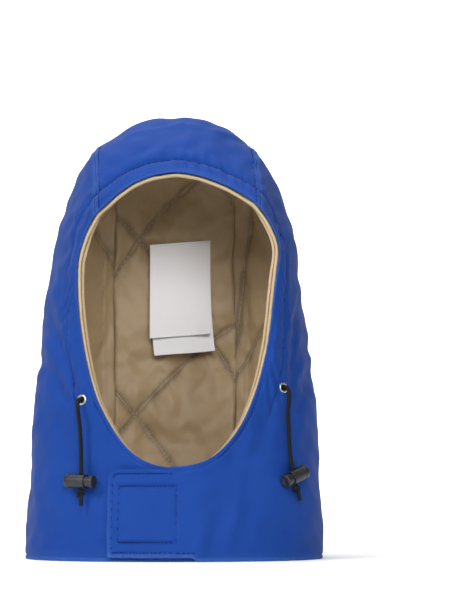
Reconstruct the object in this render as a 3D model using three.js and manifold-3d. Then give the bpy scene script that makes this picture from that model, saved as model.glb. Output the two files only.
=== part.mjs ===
// A quilted, lined hood with a face opening, a chin flap and a drawcord, standing open on its hem.
//
// The shell is a bent tube. One rim is the face opening and the other is the hem. Between them run level
// loops: "along" goes from 0 at the face edge to 1 at the hem, and each loop is a flat egg shape between a
// point on the crown or back and a point on the chin. "around" goes from 0 at the back to the two panel
// seams at -1 and 1, to the chin's sides at -2 and 2 and to the middle of the chin at -3 and 3.
// Every layer of cloth is the same surface, taken at its own depth below the shell's outer face.
//
// Millimetres. X to the right as the face opening is seen, Y to the back, Z up, hem on Z = 0.

import * as THREE from "three";
import { mergeVertices } from "three/addons/utils/BufferGeometryUtils.js";
import Module from "manifold-3d";

const wasm = await Module();
wasm.setup();

// Whole hood
const HEIGHT = 397;
const HEM_WIDTH = 262;
const HEM_DEPTH = 216;
const CHIN_HEIGHT = 79;
const FACE_WIDTH = 175;
const SEAM_SPACING = 142;
const SETBACK = 3.5; // the hem's centre lies this far in front of the origin, under the head's weight

// Cloth layers
const SHELL = 1.5;
const GAP = 0.3;
const LINING_CLEARANCE = 0.55; // between the shell and the padding
const PADDING = 6.2;
const QUILTED_DOWN = 2.4;
const QUILT_SPACING = 106;
const QUILT_LEAN = 50; // degrees from level
const STITCH_VALLEY = 13;
const FALLING_SHIFT = 0.5; // of the stitch lines that fall to the right, as a share of QUILT_SPACING
const FACING = 2;
const LINING_SEAM_SPACING = 116;
const LINING_HEM_UP = 3;
const SEAM_RIDGE = 1.6;
const SEAM_RIDGE_BREADTH = 7;

// Drawcord and its channel
const CORD = 3.4;
const CORD_SIDES = 8;
const CHANNEL = 28;
const TUNNEL = 4.6; // room for the cord between the shell and the facing
const CORD_FROM_EDGE = 14;
const CORD_DEPTH = 4;
const CORD_STEP = 13;
const CHANNEL_PUFF = 1.2;
const FREE_CORD_STEP = 7;

// Binding of the face edge
const BINDING = 3.6;
const BINDING_PROUD = 0.7;
const BINDING_SUNK = 2.4; // behind the edge at the chin, where the shell turns over it
const BINDING_TURN_IN = [1.66, 1.94]; // around values between which it sinks
const BINDING_SIDES = 6;
const BINDING_STEP = 13;

// Chin closure
const CHIN_SIDE = 60;
const FLAP_REACH = 56;
const UNDERLAP_REACH = 17;
const FLAP_THICKNESS = 2.8;
const FLAP_RISE = [2, 24]; // distances past the underlap's end between which the flap has risen
const FLAP_TOP_UP = 77;
const FLAP_CORNER = 9;
const FLAP_HEM_UP = 3;
const PATCH_SIZE = 48;
const PATCH_THICKNESS = 1.4;
const PATCH_FROM_FLAP_END = 9;
const PATCH_UP = 15;
const UNDER_DIP = 2.2;
const UNDER_DIP_SIDE = [18, 1]; // distances beside the flap's end between which the dip deepens
const UNDER_DIP_TOP = [10, 45]; // heights above the flap's top between which it ends
const LAP_CLEARANCE = 3;
const OVER_LIFT = FLAP_THICKNESS + PATCH_THICKNESS + 2 * GAP - UNDER_DIP;

// Eyelets, each at a height and at a distance to the side
const EYELET_OUTER = 9.4;
const EYELET_HOLE = 4.8;
const EYELET_WALL = 0.5;
const EYELET_FLANGE = 0.8;
const EYELET_LIFT = 0.55;
const EYELET_CLEARANCE = 0.35;
const EYELETS = {
  left: { side: -79, up: 136 },
  right: { side: 92.5, up: 147 },
};

// Cord locks
const BARREL = 12;
const BARREL_LENGTH = 19;
const BARREL_BORE = 10.1;
const BARREL_END = 2.4;
const PLUNGER = 9.5;
const CAP = 11;
const CAP_THICKNESS = 3.6;
const PRESS = 4; // how far the plunger goes in
const CORD_FROM_MOUTH = 4.7;
const PLUNGER_DEPTH = 9.4;
const LOCK_HOLE = 4.2;
const LOCK_SIDES = 14;

// Knots
const KNOT = 7.4;
const KNOT_LENGTH = 6.5;
const KNOT_TAIL = 7;

// Labels
const LABEL_WIDTH = 57;
const LABEL_THICKNESS = 1;
const LABEL_TOP_UP = 293;
const LABEL_SIDE = 5;
const FRONT_LABEL_DROP = 89;
const BACK_LABEL_DROP = 105;
const BACK_LABEL_SHIFT = 3.5;
const LABEL_CURL = 5;
const LABEL_SLANT = 0.08; // rise of its sewn edge for each step to the right
const LABEL_STANDOFF = 1.3;

// Mesh steps. Shell and lining share their rows and columns, so their faces stay parallel.
const CENTRE_COLUMNS = 8;
const SIDE_COLUMNS = 12;
const CHIN_COLUMNS = 5;
const CROWN_ROWS = 7;
const BACK_ROWS = 10;
const CHANNEL_ROWS = [0.5, 1, 1.12];
const CROWN_END = 0.46; // the loop where the crown has turned into the back

// The loops. Along. The upper point of each loop: how far back, as a share of HEM_DEPTH from the hem's front,
// and how high, as a share of HEIGHT. The chin point: the same, but its height is a share of CHIN_HEIGHT.
// Narrow: 0 is the hem's width and 1 the face opening's. Widest: where the loop is widest, from chin to top.
// Upper and lower: how square the two halves of the egg are, where 2 is an ellipse. Corner: how much fuller
// than that the egg is beside the chin, and how much slimmer halfway up.
const CORNER_TURN = 0.7;
const LOOP_COLUMNS = [
  "along", "topBack", "topUp", "chinBack", "chinUp", "narrow", "widest", "upper", "lower", "corner",
];
const LOOPS = [
  [0.0, 0.287, 0.851, 0.014, 1.0, 1.0, 0.7, 1.8, 2.15, 0.45],
  [0.08, 0.389, 0.935, 0.009, 0.92, 0.91, 0.56, 2.1, 2.05, 0.37],
  [0.16, 0.556, 0.995, 0.007, 0.85, 0.69, 0.46, 2.5, 2.0, 0.26],
  [0.24, 0.755, 0.99, 0.005, 0.77, 0.48, 0.41, 2.7, 2.0, 0.16],
  [0.34, 0.926, 0.907, 0.002, 0.67, 0.32, 0.4, 2.55, 2.05, 0.07],
  [0.46, 1.023, 0.756, 0.0, 0.545, 0.195, 0.415, 2.35, 2.1, 0.0],
  [0.6, 1.051, 0.569, 0.0, 0.405, 0.115, 0.43, 2.3, 2.15, 0.0],
  [0.74, 1.032, 0.378, 0.0, 0.25, 0.07, 0.455, 2.3, 2.2, 0.0],
  [0.88, 1.005, 0.171, 0.0, 0.115, 0.02, 0.5, 2.3, 2.27, 0.0],
  [1.0, 1.0, 0.0, 0.0, 0.0, 0.0, 0.5, 2.3, 2.3, 0.0],
];

// Folds and dents, each along a straight line as seen from the front or the back. Face: -1 front, 1 back.
// The line's two ends, across as a share of half HEM_WIDTH and up as a share of HEIGHT. Breadth as a share of
// FOLD_BREADTH and rise as a share of FOLD_RISE, where a minus sign is a dent.
const FOLD_BREADTH = 18;
const FOLD_RISE = 6;
const FOLD_FADE = [-20, 30]; // distances past the side line between which a fold reaches its rise
const FOLD_COLUMNS = ["face", "fromAcross", "fromUp", "toAcross", "toUp", "breadth", "rise"];
const FOLDS = [
  [-1, 0.5, 0.77, 0.66, 0.7, 1.7, 0.9],
  [-1, -0.5, 0.77, -0.64, 0.7, 1.7, -0.7],
  [-1, -0.8, 0.6, -0.73, 0.38, 0.8, -0.5],
  [-1, 0.84, 0.62, 0.82, 0.4, 0.8, -0.5],
  [-1, -0.5, 0.26, -0.68, 0.08, 1.2, -0.5],
  [-1, 0.42, 0.2, 0.66, 0.06, 1.3, -0.45],
  [1, 0.48, 0.69, -0.05, 0.63, 0.9, -0.7],
  [1, 0.36, 0.58, -0.3, 0.54, 0.9, -0.6],
  [1, 0.52, 0.5, 0.19, 0.43, 0.9, 0.6],
  [1, -0.15, 0.38, -0.49, 0.36, 1.0, -0.6],
  [1, 0.3, 0.3, -0.1, 0.26, 1.1, 0.5],
  [1, 0.02, 0.12, -0.49, 0.11, 0.9, -0.5],
  [1, 0.56, 0.92, -0.4, 0.955, 0.8, -0.5],
];

// Routes of the cord's free ends, from inside the eyelet to the top of the knot
const ROUTES = {
  left: [
    [-78.5, -86.8, 135.9], [-79.7, -88.9, 136.1], [-80.9, -90.9, 136.3], [-81.7, -94.1, 134.9],
    [-82.1, -96.8, 132.3], [-82.1, -98.4, 128.8], [-81.7, -99.1, 124.5], [-81, -99.1, 119],
    [-80.2, -98.8, 112], [-79.6, -98, 104], [-79.2, -97.6, 96], [-79, -97.2, 88],
    [-78.9, -97.2, 80], [-78.8, -97.4, 72], [-78.8, -97.5, 65], [-78.8, -97.6, 60.2],
  ],
  right: [
    [92.2, -76.3, 147], [93.8, -78, 147.2], [95.3, -79.7, 147.3], [96, -83, 146.1],
    [96.9, -85.4, 143.6], [97.3, -86.9, 139.9], [97, -87.7, 135.3], [96.3, -88.3, 129],
    [96.2, -88.2, 121], [96.7, -87.5, 113], [97, -87.1, 105], [97.5, -86.9, 97],
    [98.2, -86.6, 89], [99.6, -85.8, 80], [101.7, -83.9, 71], [103.4, -82.3, 64.2],
  ],
};

// Where each lock's middle sits on its cord, the way its barrel points and its tilt in degrees
const LOCKS = {
  left: { up: 66.9, side: -1, tilt: 2 },
  right: { up: 71, side: 1, tilt: 20 },
};

const COLOURS = {
  shell: { color: 0x1d4db3, roughness: 0.72, metalness: 0 },
  lining: { color: 0x9c8462, roughness: 0.55, metalness: 0 },
  binding: { color: 0xd9c8aa, roughness: 0.6, metalness: 0 },
  patch: { color: 0x23366b, roughness: 0.95, metalness: 0 },
  nickel: { color: 0xb9bbbd, roughness: 0.3, metalness: 1 },
  cord: { color: 0x17181a, roughness: 0.85, metalness: 0 },
  plastic: { color: 0x1b1d1f, roughness: 0.4, metalness: 0 },
  label: { color: 0xe6e6ec, roughness: 0.6, metalness: 0 },
};

const LINING_SEAM = LINING_SEAM_SPACING / SEAM_SPACING;

const mix = (a, b, share) => a + (b - a) * share;

function smooth(from, to, value) {
  const share = THREE.MathUtils.clamp((value - from) / (to - from), 0, 1);
  return share * share * (3 - 2 * share);
}

/** Finds where a falling function of one number passes zero between two ends. */
function solve(fall, low, high) {
  for (let turn = 0; turn < 40; turn += 1) {
    const middle = (low + high) / 2;
    if (fall(middle) > 0) low = middle;
    else high = middle;
  }
  return (low + high) / 2;
}

/** One smooth curve through a column of the loop table. */
function columnCurve(name) {
  const at = LOOP_COLUMNS.indexOf(name);
  const xs = LOOPS.map((row) => row[0]);
  const ys = LOOPS.map((row) => row[at]);
  const slopes = xs.slice(1).map((x, i) => (ys[i + 1] - ys[i]) / (x - xs[i]));
  const tangents = xs.map((x, i) => {
    if (i === 0) return slopes[0];
    if (i === xs.length - 1) return slopes[i - 1];
    const before = x - xs[i - 1];
    const after = xs[i + 1] - x;
    return (slopes[i - 1] * after + slopes[i] * before) / (before + after);
  });
  return (along) => {
    const value = THREE.MathUtils.clamp(along, 0, 1);
    let i = 0;
    while (i < xs.length - 2 && value > xs[i + 1]) i += 1;
    const step = xs[i + 1] - xs[i];
    const t = (value - xs[i]) / step;
    return (
      (2 * t ** 3 - 3 * t ** 2 + 1) * ys[i] +
      (t ** 3 - 2 * t ** 2 + t) * step * tangents[i] +
      (3 * t ** 2 - 2 * t ** 3) * ys[i + 1] +
      (t ** 3 - t ** 2) * step * tangents[i + 1]
    );
  };
}

const CURVES = Object.fromEntries(LOOP_COLUMNS.slice(1).map((name) => [name, columnCurve(name)]));

/** The egg of one loop: its two ends, its half width and the angles of the seam and of the chin's side. */
function loopAt(along) {
  const upper = CURVES.upper(along);
  const lower = CURVES.lower(along);
  const half = mix(HEM_WIDTH, FACE_WIDTH, CURVES.narrow(along)) / 2;
  const front = -HEM_DEPTH / 2 - SETBACK;
  return {
    topY: front + CURVES.topBack(along) * HEM_DEPTH,
    topZ: CURVES.topUp(along) * HEIGHT,
    chinY: front + CURVES.chinBack(along) * HEM_DEPTH,
    chinZ: CURVES.chinUp(along) * CHIN_HEIGHT,
    widest: CURVES.widest(along),
    corner: CURVES.corner(along),
    upper,
    lower,
    half,
    seamTurn: Math.acos((SEAM_SPACING / 2 / half) ** (upper / 2)),
    chinTurn: -Math.acos((CHIN_SIDE / half) ** (lower / 2)),
  };
}

/** Shifts a share of the way down the lower half: none at its ends and at CORNER_TURN, less above it, more below. */
function cornered(share, corner) {
  return share + corner * share * (1 - share) * (share - CORNER_TURN);
}

/** A point of the smooth outer face, before folds. */
function basePoint(along, around) {
  const loop = loopAt(along);
  const side = around < 0 ? -1 : 1;
  const turnFromBack = Math.abs(around);
  let across;
  let share;
  if (turnFromBack <= 1) {
    across = (turnFromBack * SEAM_SPACING) / 2;
    share = loop.widest + (1 - loop.widest) * (1 - (across / loop.half) ** loop.upper) ** (1 / loop.upper);
  } else if (turnFromBack <= 2) {
    const turn = mix(loop.seamTurn, loop.chinTurn, turnFromBack - 1);
    const power = turn >= 0 ? loop.upper : loop.lower;
    const climb = Math.abs(Math.sin(turn)) ** (2 / power);
    across = loop.half * Math.cos(turn) ** (2 / power);
    share = loop.widest;
    share += turn >= 0 ? (1 - loop.widest) * climb : -loop.widest * cornered(climb, loop.corner);
  } else {
    across = CHIN_SIDE * (3 - turnFromBack);
    const climb = (1 - (Math.abs(across) / loop.half) ** loop.lower) ** (1 / loop.lower);
    share = loop.widest - loop.widest * cornered(climb, loop.corner);
  }
  return new THREE.Vector3(
    side * across,
    mix(loop.chinY, loop.topY, share),
    mix(loop.chinZ, loop.topZ, share),
  );
}

/** The outward direction of a surface function at one of its points. */
function outward(surface, along, around) {
  const step = 0.004;
  const before = Math.max(along - step, 0);
  const after = Math.min(along + step, 1);
  const level = surface(along, around + step).sub(surface(along, around - step));
  const down = surface(after, around).sub(surface(before, around));
  return level.cross(down).normalize();
}

/** How far the cloth stands out from its smooth form at a point: folds, dents and the seams' ridges. */
function relief(point, around) {
  let rise = 0;
  for (const row of FOLDS) {
    const fold = Object.fromEntries(FOLD_COLUMNS.map((name, i) => [name, row[i]]));
    const gate = smooth(...FOLD_FADE, fold.face * point.y);
    const from = new THREE.Vector2((fold.fromAcross * HEM_WIDTH) / 2, fold.fromUp * HEIGHT);
    const to = new THREE.Vector2((fold.toAcross * HEM_WIDTH) / 2, fold.toUp * HEIGHT);
    const here = new THREE.Vector2(point.x, point.z).sub(from);
    const line = to.sub(from);
    const share = THREE.MathUtils.clamp(here.dot(line) / line.lengthSq(), 0, 1);
    const apart = here.sub(line.multiplyScalar(share)).length() / (fold.breadth * FOLD_BREADTH);
    rise += gate * fold.rise * FOLD_RISE * Math.exp(-apart * apart);
  }
  const fromSeam = (Math.abs(point.x) - SEAM_SPACING / 2) / SEAM_RIDGE_BREADTH;
  const seam = SEAM_RIDGE * Math.exp(-fromSeam * fromSeam);
  return rise + (Math.abs(around) < 1.5 ? seam : 0);
}

/** How far below its smooth form the outer face of the shell lies at the hem and at the eyelets: not at all. */
function steady(point, along) {
  let free = 1 - smooth(0.93, 1, along);
  for (const { side, up } of Object.values(EYELETS)) {
    const apart = Math.hypot(point.x - side, point.z - up) / EYELET_OUTER;
    if (point.y < 0) free *= 1 - Math.exp(-apart * apart);
  }
  return free;
}

/** A point of the outer face with its folds, but without the channel's puff. */
function foldedPoint(along, around) {
  const point = basePoint(along, around);
  const rise = relief(point, around) * steady(point, along);
  return point.addScaledVector(outward(basePoint, along, around), rise);
}

const EDGE_POINTS = steps(-3, 3, 240).map((around) => basePoint(0, around));

/** The along value that lies a distance from the nearest point of the face edge. */
function alongFromEdge(distance, around) {
  const apart = (point) => Math.min(...EDGE_POINTS.map((edge) => point.distanceTo(edge)));
  return solve((along) => distance - apart(basePoint(along, around)), 0, 0.6);
}

/** The along value at a height above the hem. */
function alongAtHeight(up, around) {
  return solve((along) => basePoint(along, around).z - up, 0, 1);
}

/** How far the left panel sinks under the chin flap. */
function underDip(point, around) {
  if (around > -1.5) return 0;
  const [from, to] = UNDER_DIP_SIDE;
  const [low, high] = UNDER_DIP_TOP;
  const behindFlap = smooth(-FLAP_REACH - from, -FLAP_REACH - to, point.x);
  const atChin = 1 - smooth(FLAP_TOP_UP + low, FLAP_TOP_UP + high, point.z);
  return UNDER_DIP * behindFlap * atChin;
}

/** How much of the right panel's rise over the chin is reached: 0 beside it and 1 on the flap. */
function flapShare(around) {
  const across = CHIN_SIDE * (3 - around);
  const [from, to] = FLAP_RISE;
  return around < 2 ? 0 : 1 - smooth(from, to, across - UNDERLAP_REACH);
}

/** A point at a depth below the outer face, with the left panel's dip under the flap. */
function layerPoint(along, around, depth) {
  const point = foldedPoint(along, around);
  const total = depth + underDip(point, around);
  return point.addScaledVector(outward(foldedPoint, along, around), -total);
}

/** Even steps from one value to another, both included. */
function steps(from, to, count) {
  return Array.from({ length: count + 1 }, (_, i) => mix(from, to, i / count));
}

/** Closes an outer and an inner grid of points into one solid with four side walls. */
function solidFromGrids(outer, inner) {
  const rows = outer.length;
  const columns = outer[0].length;
  const positions = [...outer.flat(), ...inner.flat()].flatMap((point) => point.toArray());
  const index = [];
  const at = (layer, i, j) => layer * rows * columns + i * columns + j;
  const quad = (a, b, c, d) => index.push(a, c, b, a, d, c);
  for (let i = 0; i < rows - 1; i += 1) {
    for (let j = 0; j < columns - 1; j += 1) {
      quad(at(0, i, j), at(0, i + 1, j), at(0, i + 1, j + 1), at(0, i, j + 1));
      quad(at(1, i, j), at(1, i, j + 1), at(1, i + 1, j + 1), at(1, i + 1, j));
    }
  }
  for (let i = 0; i < rows - 1; i += 1) {
    quad(at(0, i, 0), at(1, i, 0), at(1, i + 1, 0), at(0, i + 1, 0));
    const last = columns - 1;
    quad(at(0, i, last), at(0, i + 1, last), at(1, i + 1, last), at(1, i, last));
  }
  for (let j = 0; j < columns - 1; j += 1) {
    quad(at(0, 0, j), at(0, 0, j + 1), at(1, 0, j + 1), at(1, 0, j));
    const last = rows - 1;
    quad(at(0, last, j), at(1, last, j), at(1, last, j + 1), at(0, last, j + 1));
  }
  const geometry = new THREE.BufferGeometry();
  geometry.setAttribute("position", new THREE.Float32BufferAttribute(positions, 3));
  geometry.setIndex(index);
  return geometry;
}

/** A solid ready for cutting, from any closed geometry. */
function toManifold(geometry) {
  const bare = new THREE.BufferGeometry();
  bare.setAttribute("position", geometry.getAttribute("position").clone());
  if (geometry.index) bare.setIndex(geometry.index.clone());
  const merged = mergeVertices(bare, 1e-4);
  const faces = Array.from(merged.index.array);
  const kept = [];
  for (let i = 0; i < faces.length; i += 3) {
    const [a, b, c] = faces.slice(i, i + 3);
    if (a !== b && b !== c && c !== a) kept.push(a, b, c);
  }
  const mesh = new wasm.Mesh({
    numProp: 3,
    vertProperties: new Float32Array(merged.getAttribute("position").array),
    triVerts: new Uint32Array(kept),
  });
  return new wasm.Manifold(mesh);
}

/** One geometry with others cut out of it. */
function cut(geometry, ...tools) {
  let solid = toManifold(geometry);
  for (const tool of tools) solid = solid.subtract(toManifold(tool));
  const mesh = solid.getMesh();
  const result = new THREE.BufferGeometry();
  result.setAttribute("position", new THREE.Float32BufferAttribute(mesh.vertProperties, 3));
  result.setIndex(Array.from(mesh.triVerts));
  return result;
}

/** A named, shaded mesh. */
function piece(name, geometry, finish) {
  const mesh = new THREE.Mesh(geometry, new THREE.MeshStandardMaterial(COLOURS[finish]));
  mesh.name = name;
  return mesh;
}

/** A round solid about Y from a closed profile of [radius, height] pairs. */
function turned(profile, sides = LOCK_SIDES) {
  return new THREE.LatheGeometry(profile.map(([x, y]) => new THREE.Vector2(x, y)), sides);
}

/** A round tube along a curve. */
function tube(curve, diameter, sides, pitch) {
  const section = new THREE.Shape(
    steps(0, 2 * Math.PI, sides)
      .slice(0, sides)
      .map((turn) => new THREE.Vector2(Math.cos(turn), Math.sin(turn)).multiplyScalar(diameter / 2)),
  );
  const count = Math.round(curve.getLength() / pitch);
  return new THREE.ExtrudeGeometry(section, { steps: count, extrudePath: curve, bevelEnabled: false });
}

/** The along values of a grid's rows, from the face edge over the channel and the crown to the hem. */
function rowsOf(around, { topUp, hemUp = 0 } = {}) {
  const end = hemUp > 0 ? alongAtHeight(hemUp, around) : 1;
  const channel = CHANNEL_ROWS.map((share) => alongFromEdge(share * CHANNEL, around));
  const last = channel[channel.length - 1];
  const crown = steps(last, CROWN_END, CROWN_ROWS).slice(1);
  const back = steps(CROWN_END, 1, BACK_ROWS).slice(1, -1);
  const rows = [0, ...channel, ...crown, ...back, end];
  if (topUp === undefined) return rows;
  const start = alongAtHeight(topUp, around);
  return rows.map((along) => mix(start, end, along / end));
}

/** Points of a layer over a grid. Depth is a number, or a function of along, around, row and column. */
function layerGrid(arounds, columns, depth) {
  const depthAt = typeof depth === "function" ? depth : () => depth;
  return columns[0].map((_, i) =>
    arounds.map((around, j) => {
      const along = columns[j][i];
      const point = layerPoint(along, around, depthAt(along, around, i, j));
      if (along === 1) point.z = 0;
      return point;
    }),
  );
}

/** The around value at a distance to the side on the chin, past its middle too. */
const chinAround = (across) => 3 - across / CHIN_SIDE;

/** The around value of the side panels' edge: half a gap past the seam. */
function pastSeam() {
  const step = 0.02;
  const reach = basePoint(0.5, 1 + step).distanceTo(basePoint(0.5, 1));
  return 1 + (step * GAP) / reach;
}

/** Steps from a seam round to the middle of the chin. */
function sideArounds(seam) {
  return [seam, ...steps(1, 2, SIDE_COLUMNS).slice(1), ...steps(2, 3, CHIN_COLUMNS).slice(1)];
}

const mirrored = (arounds) => arounds.map((around) => -around).reverse();

/** How far the channel stands out over its cord: its middle row only, and not past the eyelets. */
function channelPuff(around, row) {
  const middleRow = CHANNEL_ROWS.indexOf(0.5) + 1;
  return row === middleRow ? CHANNEL_PUFF * (1 - smooth(1.65, 1.95, Math.abs(around))) : 0;
}

/** A panel of the shell. Its rise and thickness vary with around, and its limits cut the flap's rows. */
function shellPanel(arounds, rise = () => 0, thickness = () => SHELL, limits = () => ({})) {
  const columns = arounds.map((around) => rowsOf(around, limits(around)));
  const outer = layerGrid(
    arounds,
    columns,
    (along, around, i) => -rise(around) - channelPuff(around, i),
  );
  const inner = layerGrid(
    arounds,
    columns,
    (along, around, i) => thickness(around) - rise(around) - channelPuff(around, i),
  );
  return solidFromGrids(outer, inner);
}

function centrePanel() {
  const edge = 1 - GAP / SEAM_SPACING;
  return shellPanel([-edge, ...steps(-LINING_SEAM, LINING_SEAM, CENTRE_COLUMNS), edge]);
}

function leftPanel() {
  const lap = steps(3, chinAround(-UNDERLAP_REACH), 2).slice(1);
  return shellPanel(mirrored([...sideArounds(pastSeam()), ...lap]));
}

/** The flap's top edge at a place across the chin: level, with a round corner at its end. */
function flapTop(across) {
  const fromCorner = FLAP_CORNER - Math.min(across + FLAP_REACH, FLAP_CORNER);
  return FLAP_TOP_UP - FLAP_CORNER + Math.sqrt(FLAP_CORNER ** 2 - fromCorner ** 2);
}

/** The right panel runs on over the left one as the chin flap. */
function rightPanel() {
  const cornerStart = FLAP_CORNER - FLAP_REACH;
  const level = steps(0, cornerStart, 5).slice(1, -1);
  const corner = steps(0, Math.PI / 2, 4).map((turn) => cornerStart - FLAP_CORNER * Math.sin(turn));
  const flap = [...level, ...corner].map(chinAround);
  const limits = (around) => {
    const across = CHIN_SIDE * (3 - around);
    return across < 0 ? { topUp: flapTop(Math.max(across, -FLAP_REACH)), hemUp: FLAP_HEM_UP } : {};
  };
  return shellPanel(
    [...sideArounds(pastSeam()), ...flap],
    (around) => OVER_LIFT * flapShare(around),
    (around) => mix(SHELL, FLAP_THICKNESS, flapShare(around)),
    limits,
  );
}

/** How deep the quilting's stitch lines pull the padding at a place on a flat panel, from 0 to 1. */
function quiltPull(across, up) {
  const lean = THREE.MathUtils.degToRad(QUILT_LEAN);
  const pulls = [-1, 1].map((way) => {
    const shift = way > 0 ? FALLING_SHIFT : 0;
    const run = (across * Math.sin(lean) + way * up * Math.cos(lean)) / QUILT_SPACING + shift;
    const apart = (Math.abs(run - Math.round(run)) * QUILT_SPACING) / STITCH_VALLEY;
    return Math.exp(-apart * apart);
  });
  return Math.max(...pulls);
}

/** A lining panel: a thin facing under the channel and quilted padding beyond it. */
function liningPanel(arounds) {
  const columns = arounds.map((around) => rowsOf(around, { hemUp: LINING_HEM_UP }));
  const middle = Math.floor(arounds.length / 2);
  const facingRows = CHANNEL_ROWS.indexOf(1) + 1;
  const paddedDepth = SHELL + LINING_CLEARANCE;
  const padded = layerGrid(arounds, columns, paddedDepth);
  const outer = layerGrid(arounds, columns, (along, around, i) =>
    i <= facingRows ? SHELL + TUNNEL + GAP : paddedDepth,
  );
  const spread = (i, j) => {
    const side = j < middle ? -1 : 1;
    let length = 0;
    for (let k = middle; k !== j; k += side) length += padded[i][k].distanceTo(padded[i][k + side]);
    return side * length;
  };
  const climb = (i) => {
    let length = 0;
    for (let k = padded.length - 1; k > i; k -= 1) {
      length += padded[k][middle].distanceTo(padded[k - 1][middle]);
    }
    return length;
  };
  const inner = layerGrid(arounds, columns, (along, around, i, j) => {
    if (i <= facingRows) return SHELL + TUNNEL + GAP + FACING;
    return paddedDepth + PADDING - QUILTED_DOWN * quiltPull(spread(i, j), climb(i));
  });
  return solidFromGrids(outer, inner);
}

function liningCentre() {
  const arounds = steps(-LINING_SEAM, LINING_SEAM, CENTRE_COLUMNS);
  arounds[0] += GAP / SEAM_SPACING;
  arounds[CENTRE_COLUMNS] -= GAP / SEAM_SPACING;
  return liningPanel(arounds);
}

/** The steps of a side lining, whose first short stretch is still under the shell's centre panel. */
function liningArounds(across) {
  const end = chinAround(across);
  const natural = [...sideArounds(1), ...steps(3, end, 2).slice(1)].filter((around) => around <= end);
  if (natural[natural.length - 1] < end) natural.push(end);
  return [LINING_SEAM + GAP / SEAM_SPACING, ...natural];
}

/** The binding that wraps the face edge, from one side of the chin closure round to the other. */
function faceBinding() {
  const start = -chinAround(4 * GAP - UNDERLAP_REACH);
  const end = chinAround(UNDERLAP_REACH + LAP_CLEARANCE);
  const points = steps(start, end, 120).map((around) => {
    const depth = SHELL + TUNNEL / 2 + GAP / 2;
    const point = layerPoint(0, around, depth);
    const inward = layerPoint(0.02, around, depth).sub(point).normalize();
    const sunk = smooth(...BINDING_TURN_IN, Math.abs(around));
    return point.addScaledVector(inward, mix(-BINDING_PROUD, BINDING_SUNK, sunk));
  });
  return tube(new THREE.CatmullRomCurve3(points), BINDING, BINDING_SIDES, BINDING_STEP);
}

/** Where a point of the front of the shell is: its along and around values, from its side and height. */
function findOnFront({ side, up }) {
  const reach = Math.abs(side);
  const widestAround = (along) => {
    const { seamTurn, chinTurn } = loopAt(along);
    return 1 + seamTurn / (seamTurn - chinTurn);
  };
  const aroundAt = (along) => solve((around) => basePoint(along, around).x - reach, widestAround(along), 3);
  const tooHigh = (along) =>
    loopAt(along).half <= reach ? 1 : basePoint(along, aroundAt(along)).z - up;
  const along = solve(tooHigh, 0, 1);
  return { along, around: Math.sign(side) * aroundAt(along) };
}

/** The drawcord in its channel, from under one eyelet over the crown to under the other. */
function drawcord() {
  const left = findOnFront(EYELETS.left);
  const right = findOnFront(EYELETS.right);
  const points = steps(left.around, right.around, 72).map((around) => {
    const near = around < 0 ? left : right;
    const share = smooth(0.6, 0, Math.abs(around - near.around));
    const free = alongFromEdge(CORD_FROM_EDGE, around);
    return layerPoint(mix(free, near.along, share), around, CORD_DEPTH);
  });
  return tube(new THREE.CatmullRomCurve3(points), CORD, CORD_SIDES, CORD_STEP);
}

/** Turns and places a mesh so that its Y axis points one way and its Z axis nearly another. */
function place(mesh, position, yAxis, zHint) {
  const y = yAxis.clone().normalize();
  const x = new THREE.Vector3().crossVectors(y, zHint).normalize();
  const z = new THREE.Vector3().crossVectors(x, y);
  mesh.quaternion.setFromRotationMatrix(new THREE.Matrix4().makeBasis(x, y, z));
  mesh.position.copy(position);
  return mesh;
}

const UP = new THREE.Vector3(0, 0, 1);

/** The shell's outer face at an eyelet: its middle and its outward direction. */
function eyeletSeat(name) {
  const { along, around } = findOnFront(EYELETS[name]);
  return { point: layerPoint(along, around, 0), out: outward(foldedPoint, along, around) };
}

/** A side panel with the eyelet's hole punched through it. */
function punched(geometry, name) {
  const seat = eyeletSeat(name);
  const radius = EYELET_HOLE / 2 + EYELET_WALL + EYELET_CLEARANCE;
  const drill = new THREE.Mesh(new THREE.CylinderGeometry(radius, radius, 4 * EYELET_OUTER, 20));
  place(drill, seat.point, seat.out, UP).updateMatrix();
  return cut(geometry, drill.geometry.applyMatrix4(drill.matrix));
}

/** An eyelet: a flange on the cloth and a barrel through it. Y is outwards from the cloth. */
function eyelet(name) {
  const hole = EYELET_HOLE / 2;
  const top = EYELET_LIFT + EYELET_FLANGE;
  const rim = EYELET_OUTER / 2;
  const profile = [
    [hole, -SHELL - GAP], [hole + EYELET_WALL, -SHELL - GAP], [hole + EYELET_WALL, EYELET_LIFT],
    [rim, EYELET_LIFT], [rim, EYELET_LIFT + EYELET_FLANGE / 2], [rim - EYELET_FLANGE, top],
    [hole + EYELET_WALL, top], [hole, EYELET_LIFT], [hole, -SHELL - GAP],
  ];
  const seat = eyeletSeat(name);
  return place(piece(`eyelet_${name}`, turned(profile), "nickel"), seat.point, seat.out, UP);
}

const routeCurve = (name) =>
  new THREE.CatmullRomCurve3(ROUTES[name].map((point) => new THREE.Vector3(...point)));

/** A cylinder along Z that cuts the cord's way through a lock. */
function cordWay(y, width, length) {
  const drill = new THREE.CylinderGeometry(width / 2, width / 2, 2 * length, 16);
  return drill.rotateX(Math.PI / 2).translate(0, y, 0);
}

/** The barrel. Its mouth is at Y = 0 and its closed end points to -Y, and the cord runs along Z. */
function lockBarrel() {
  const outer = BARREL / 2;
  const bore = BARREL_BORE / 2;
  const round = BARREL_END / 2;
  const profile = [
    [0, -BARREL_LENGTH], [outer - round, -BARREL_LENGTH], [outer, round - BARREL_LENGTH], [outer, 0],
    [bore, 0], [bore, BARREL_END - BARREL_LENGTH], [0, BARREL_END - BARREL_LENGTH],
  ];
  return cut(turned(profile), cordWay(-CORD_FROM_MOUTH, LOCK_HOLE, BARREL));
}

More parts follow.
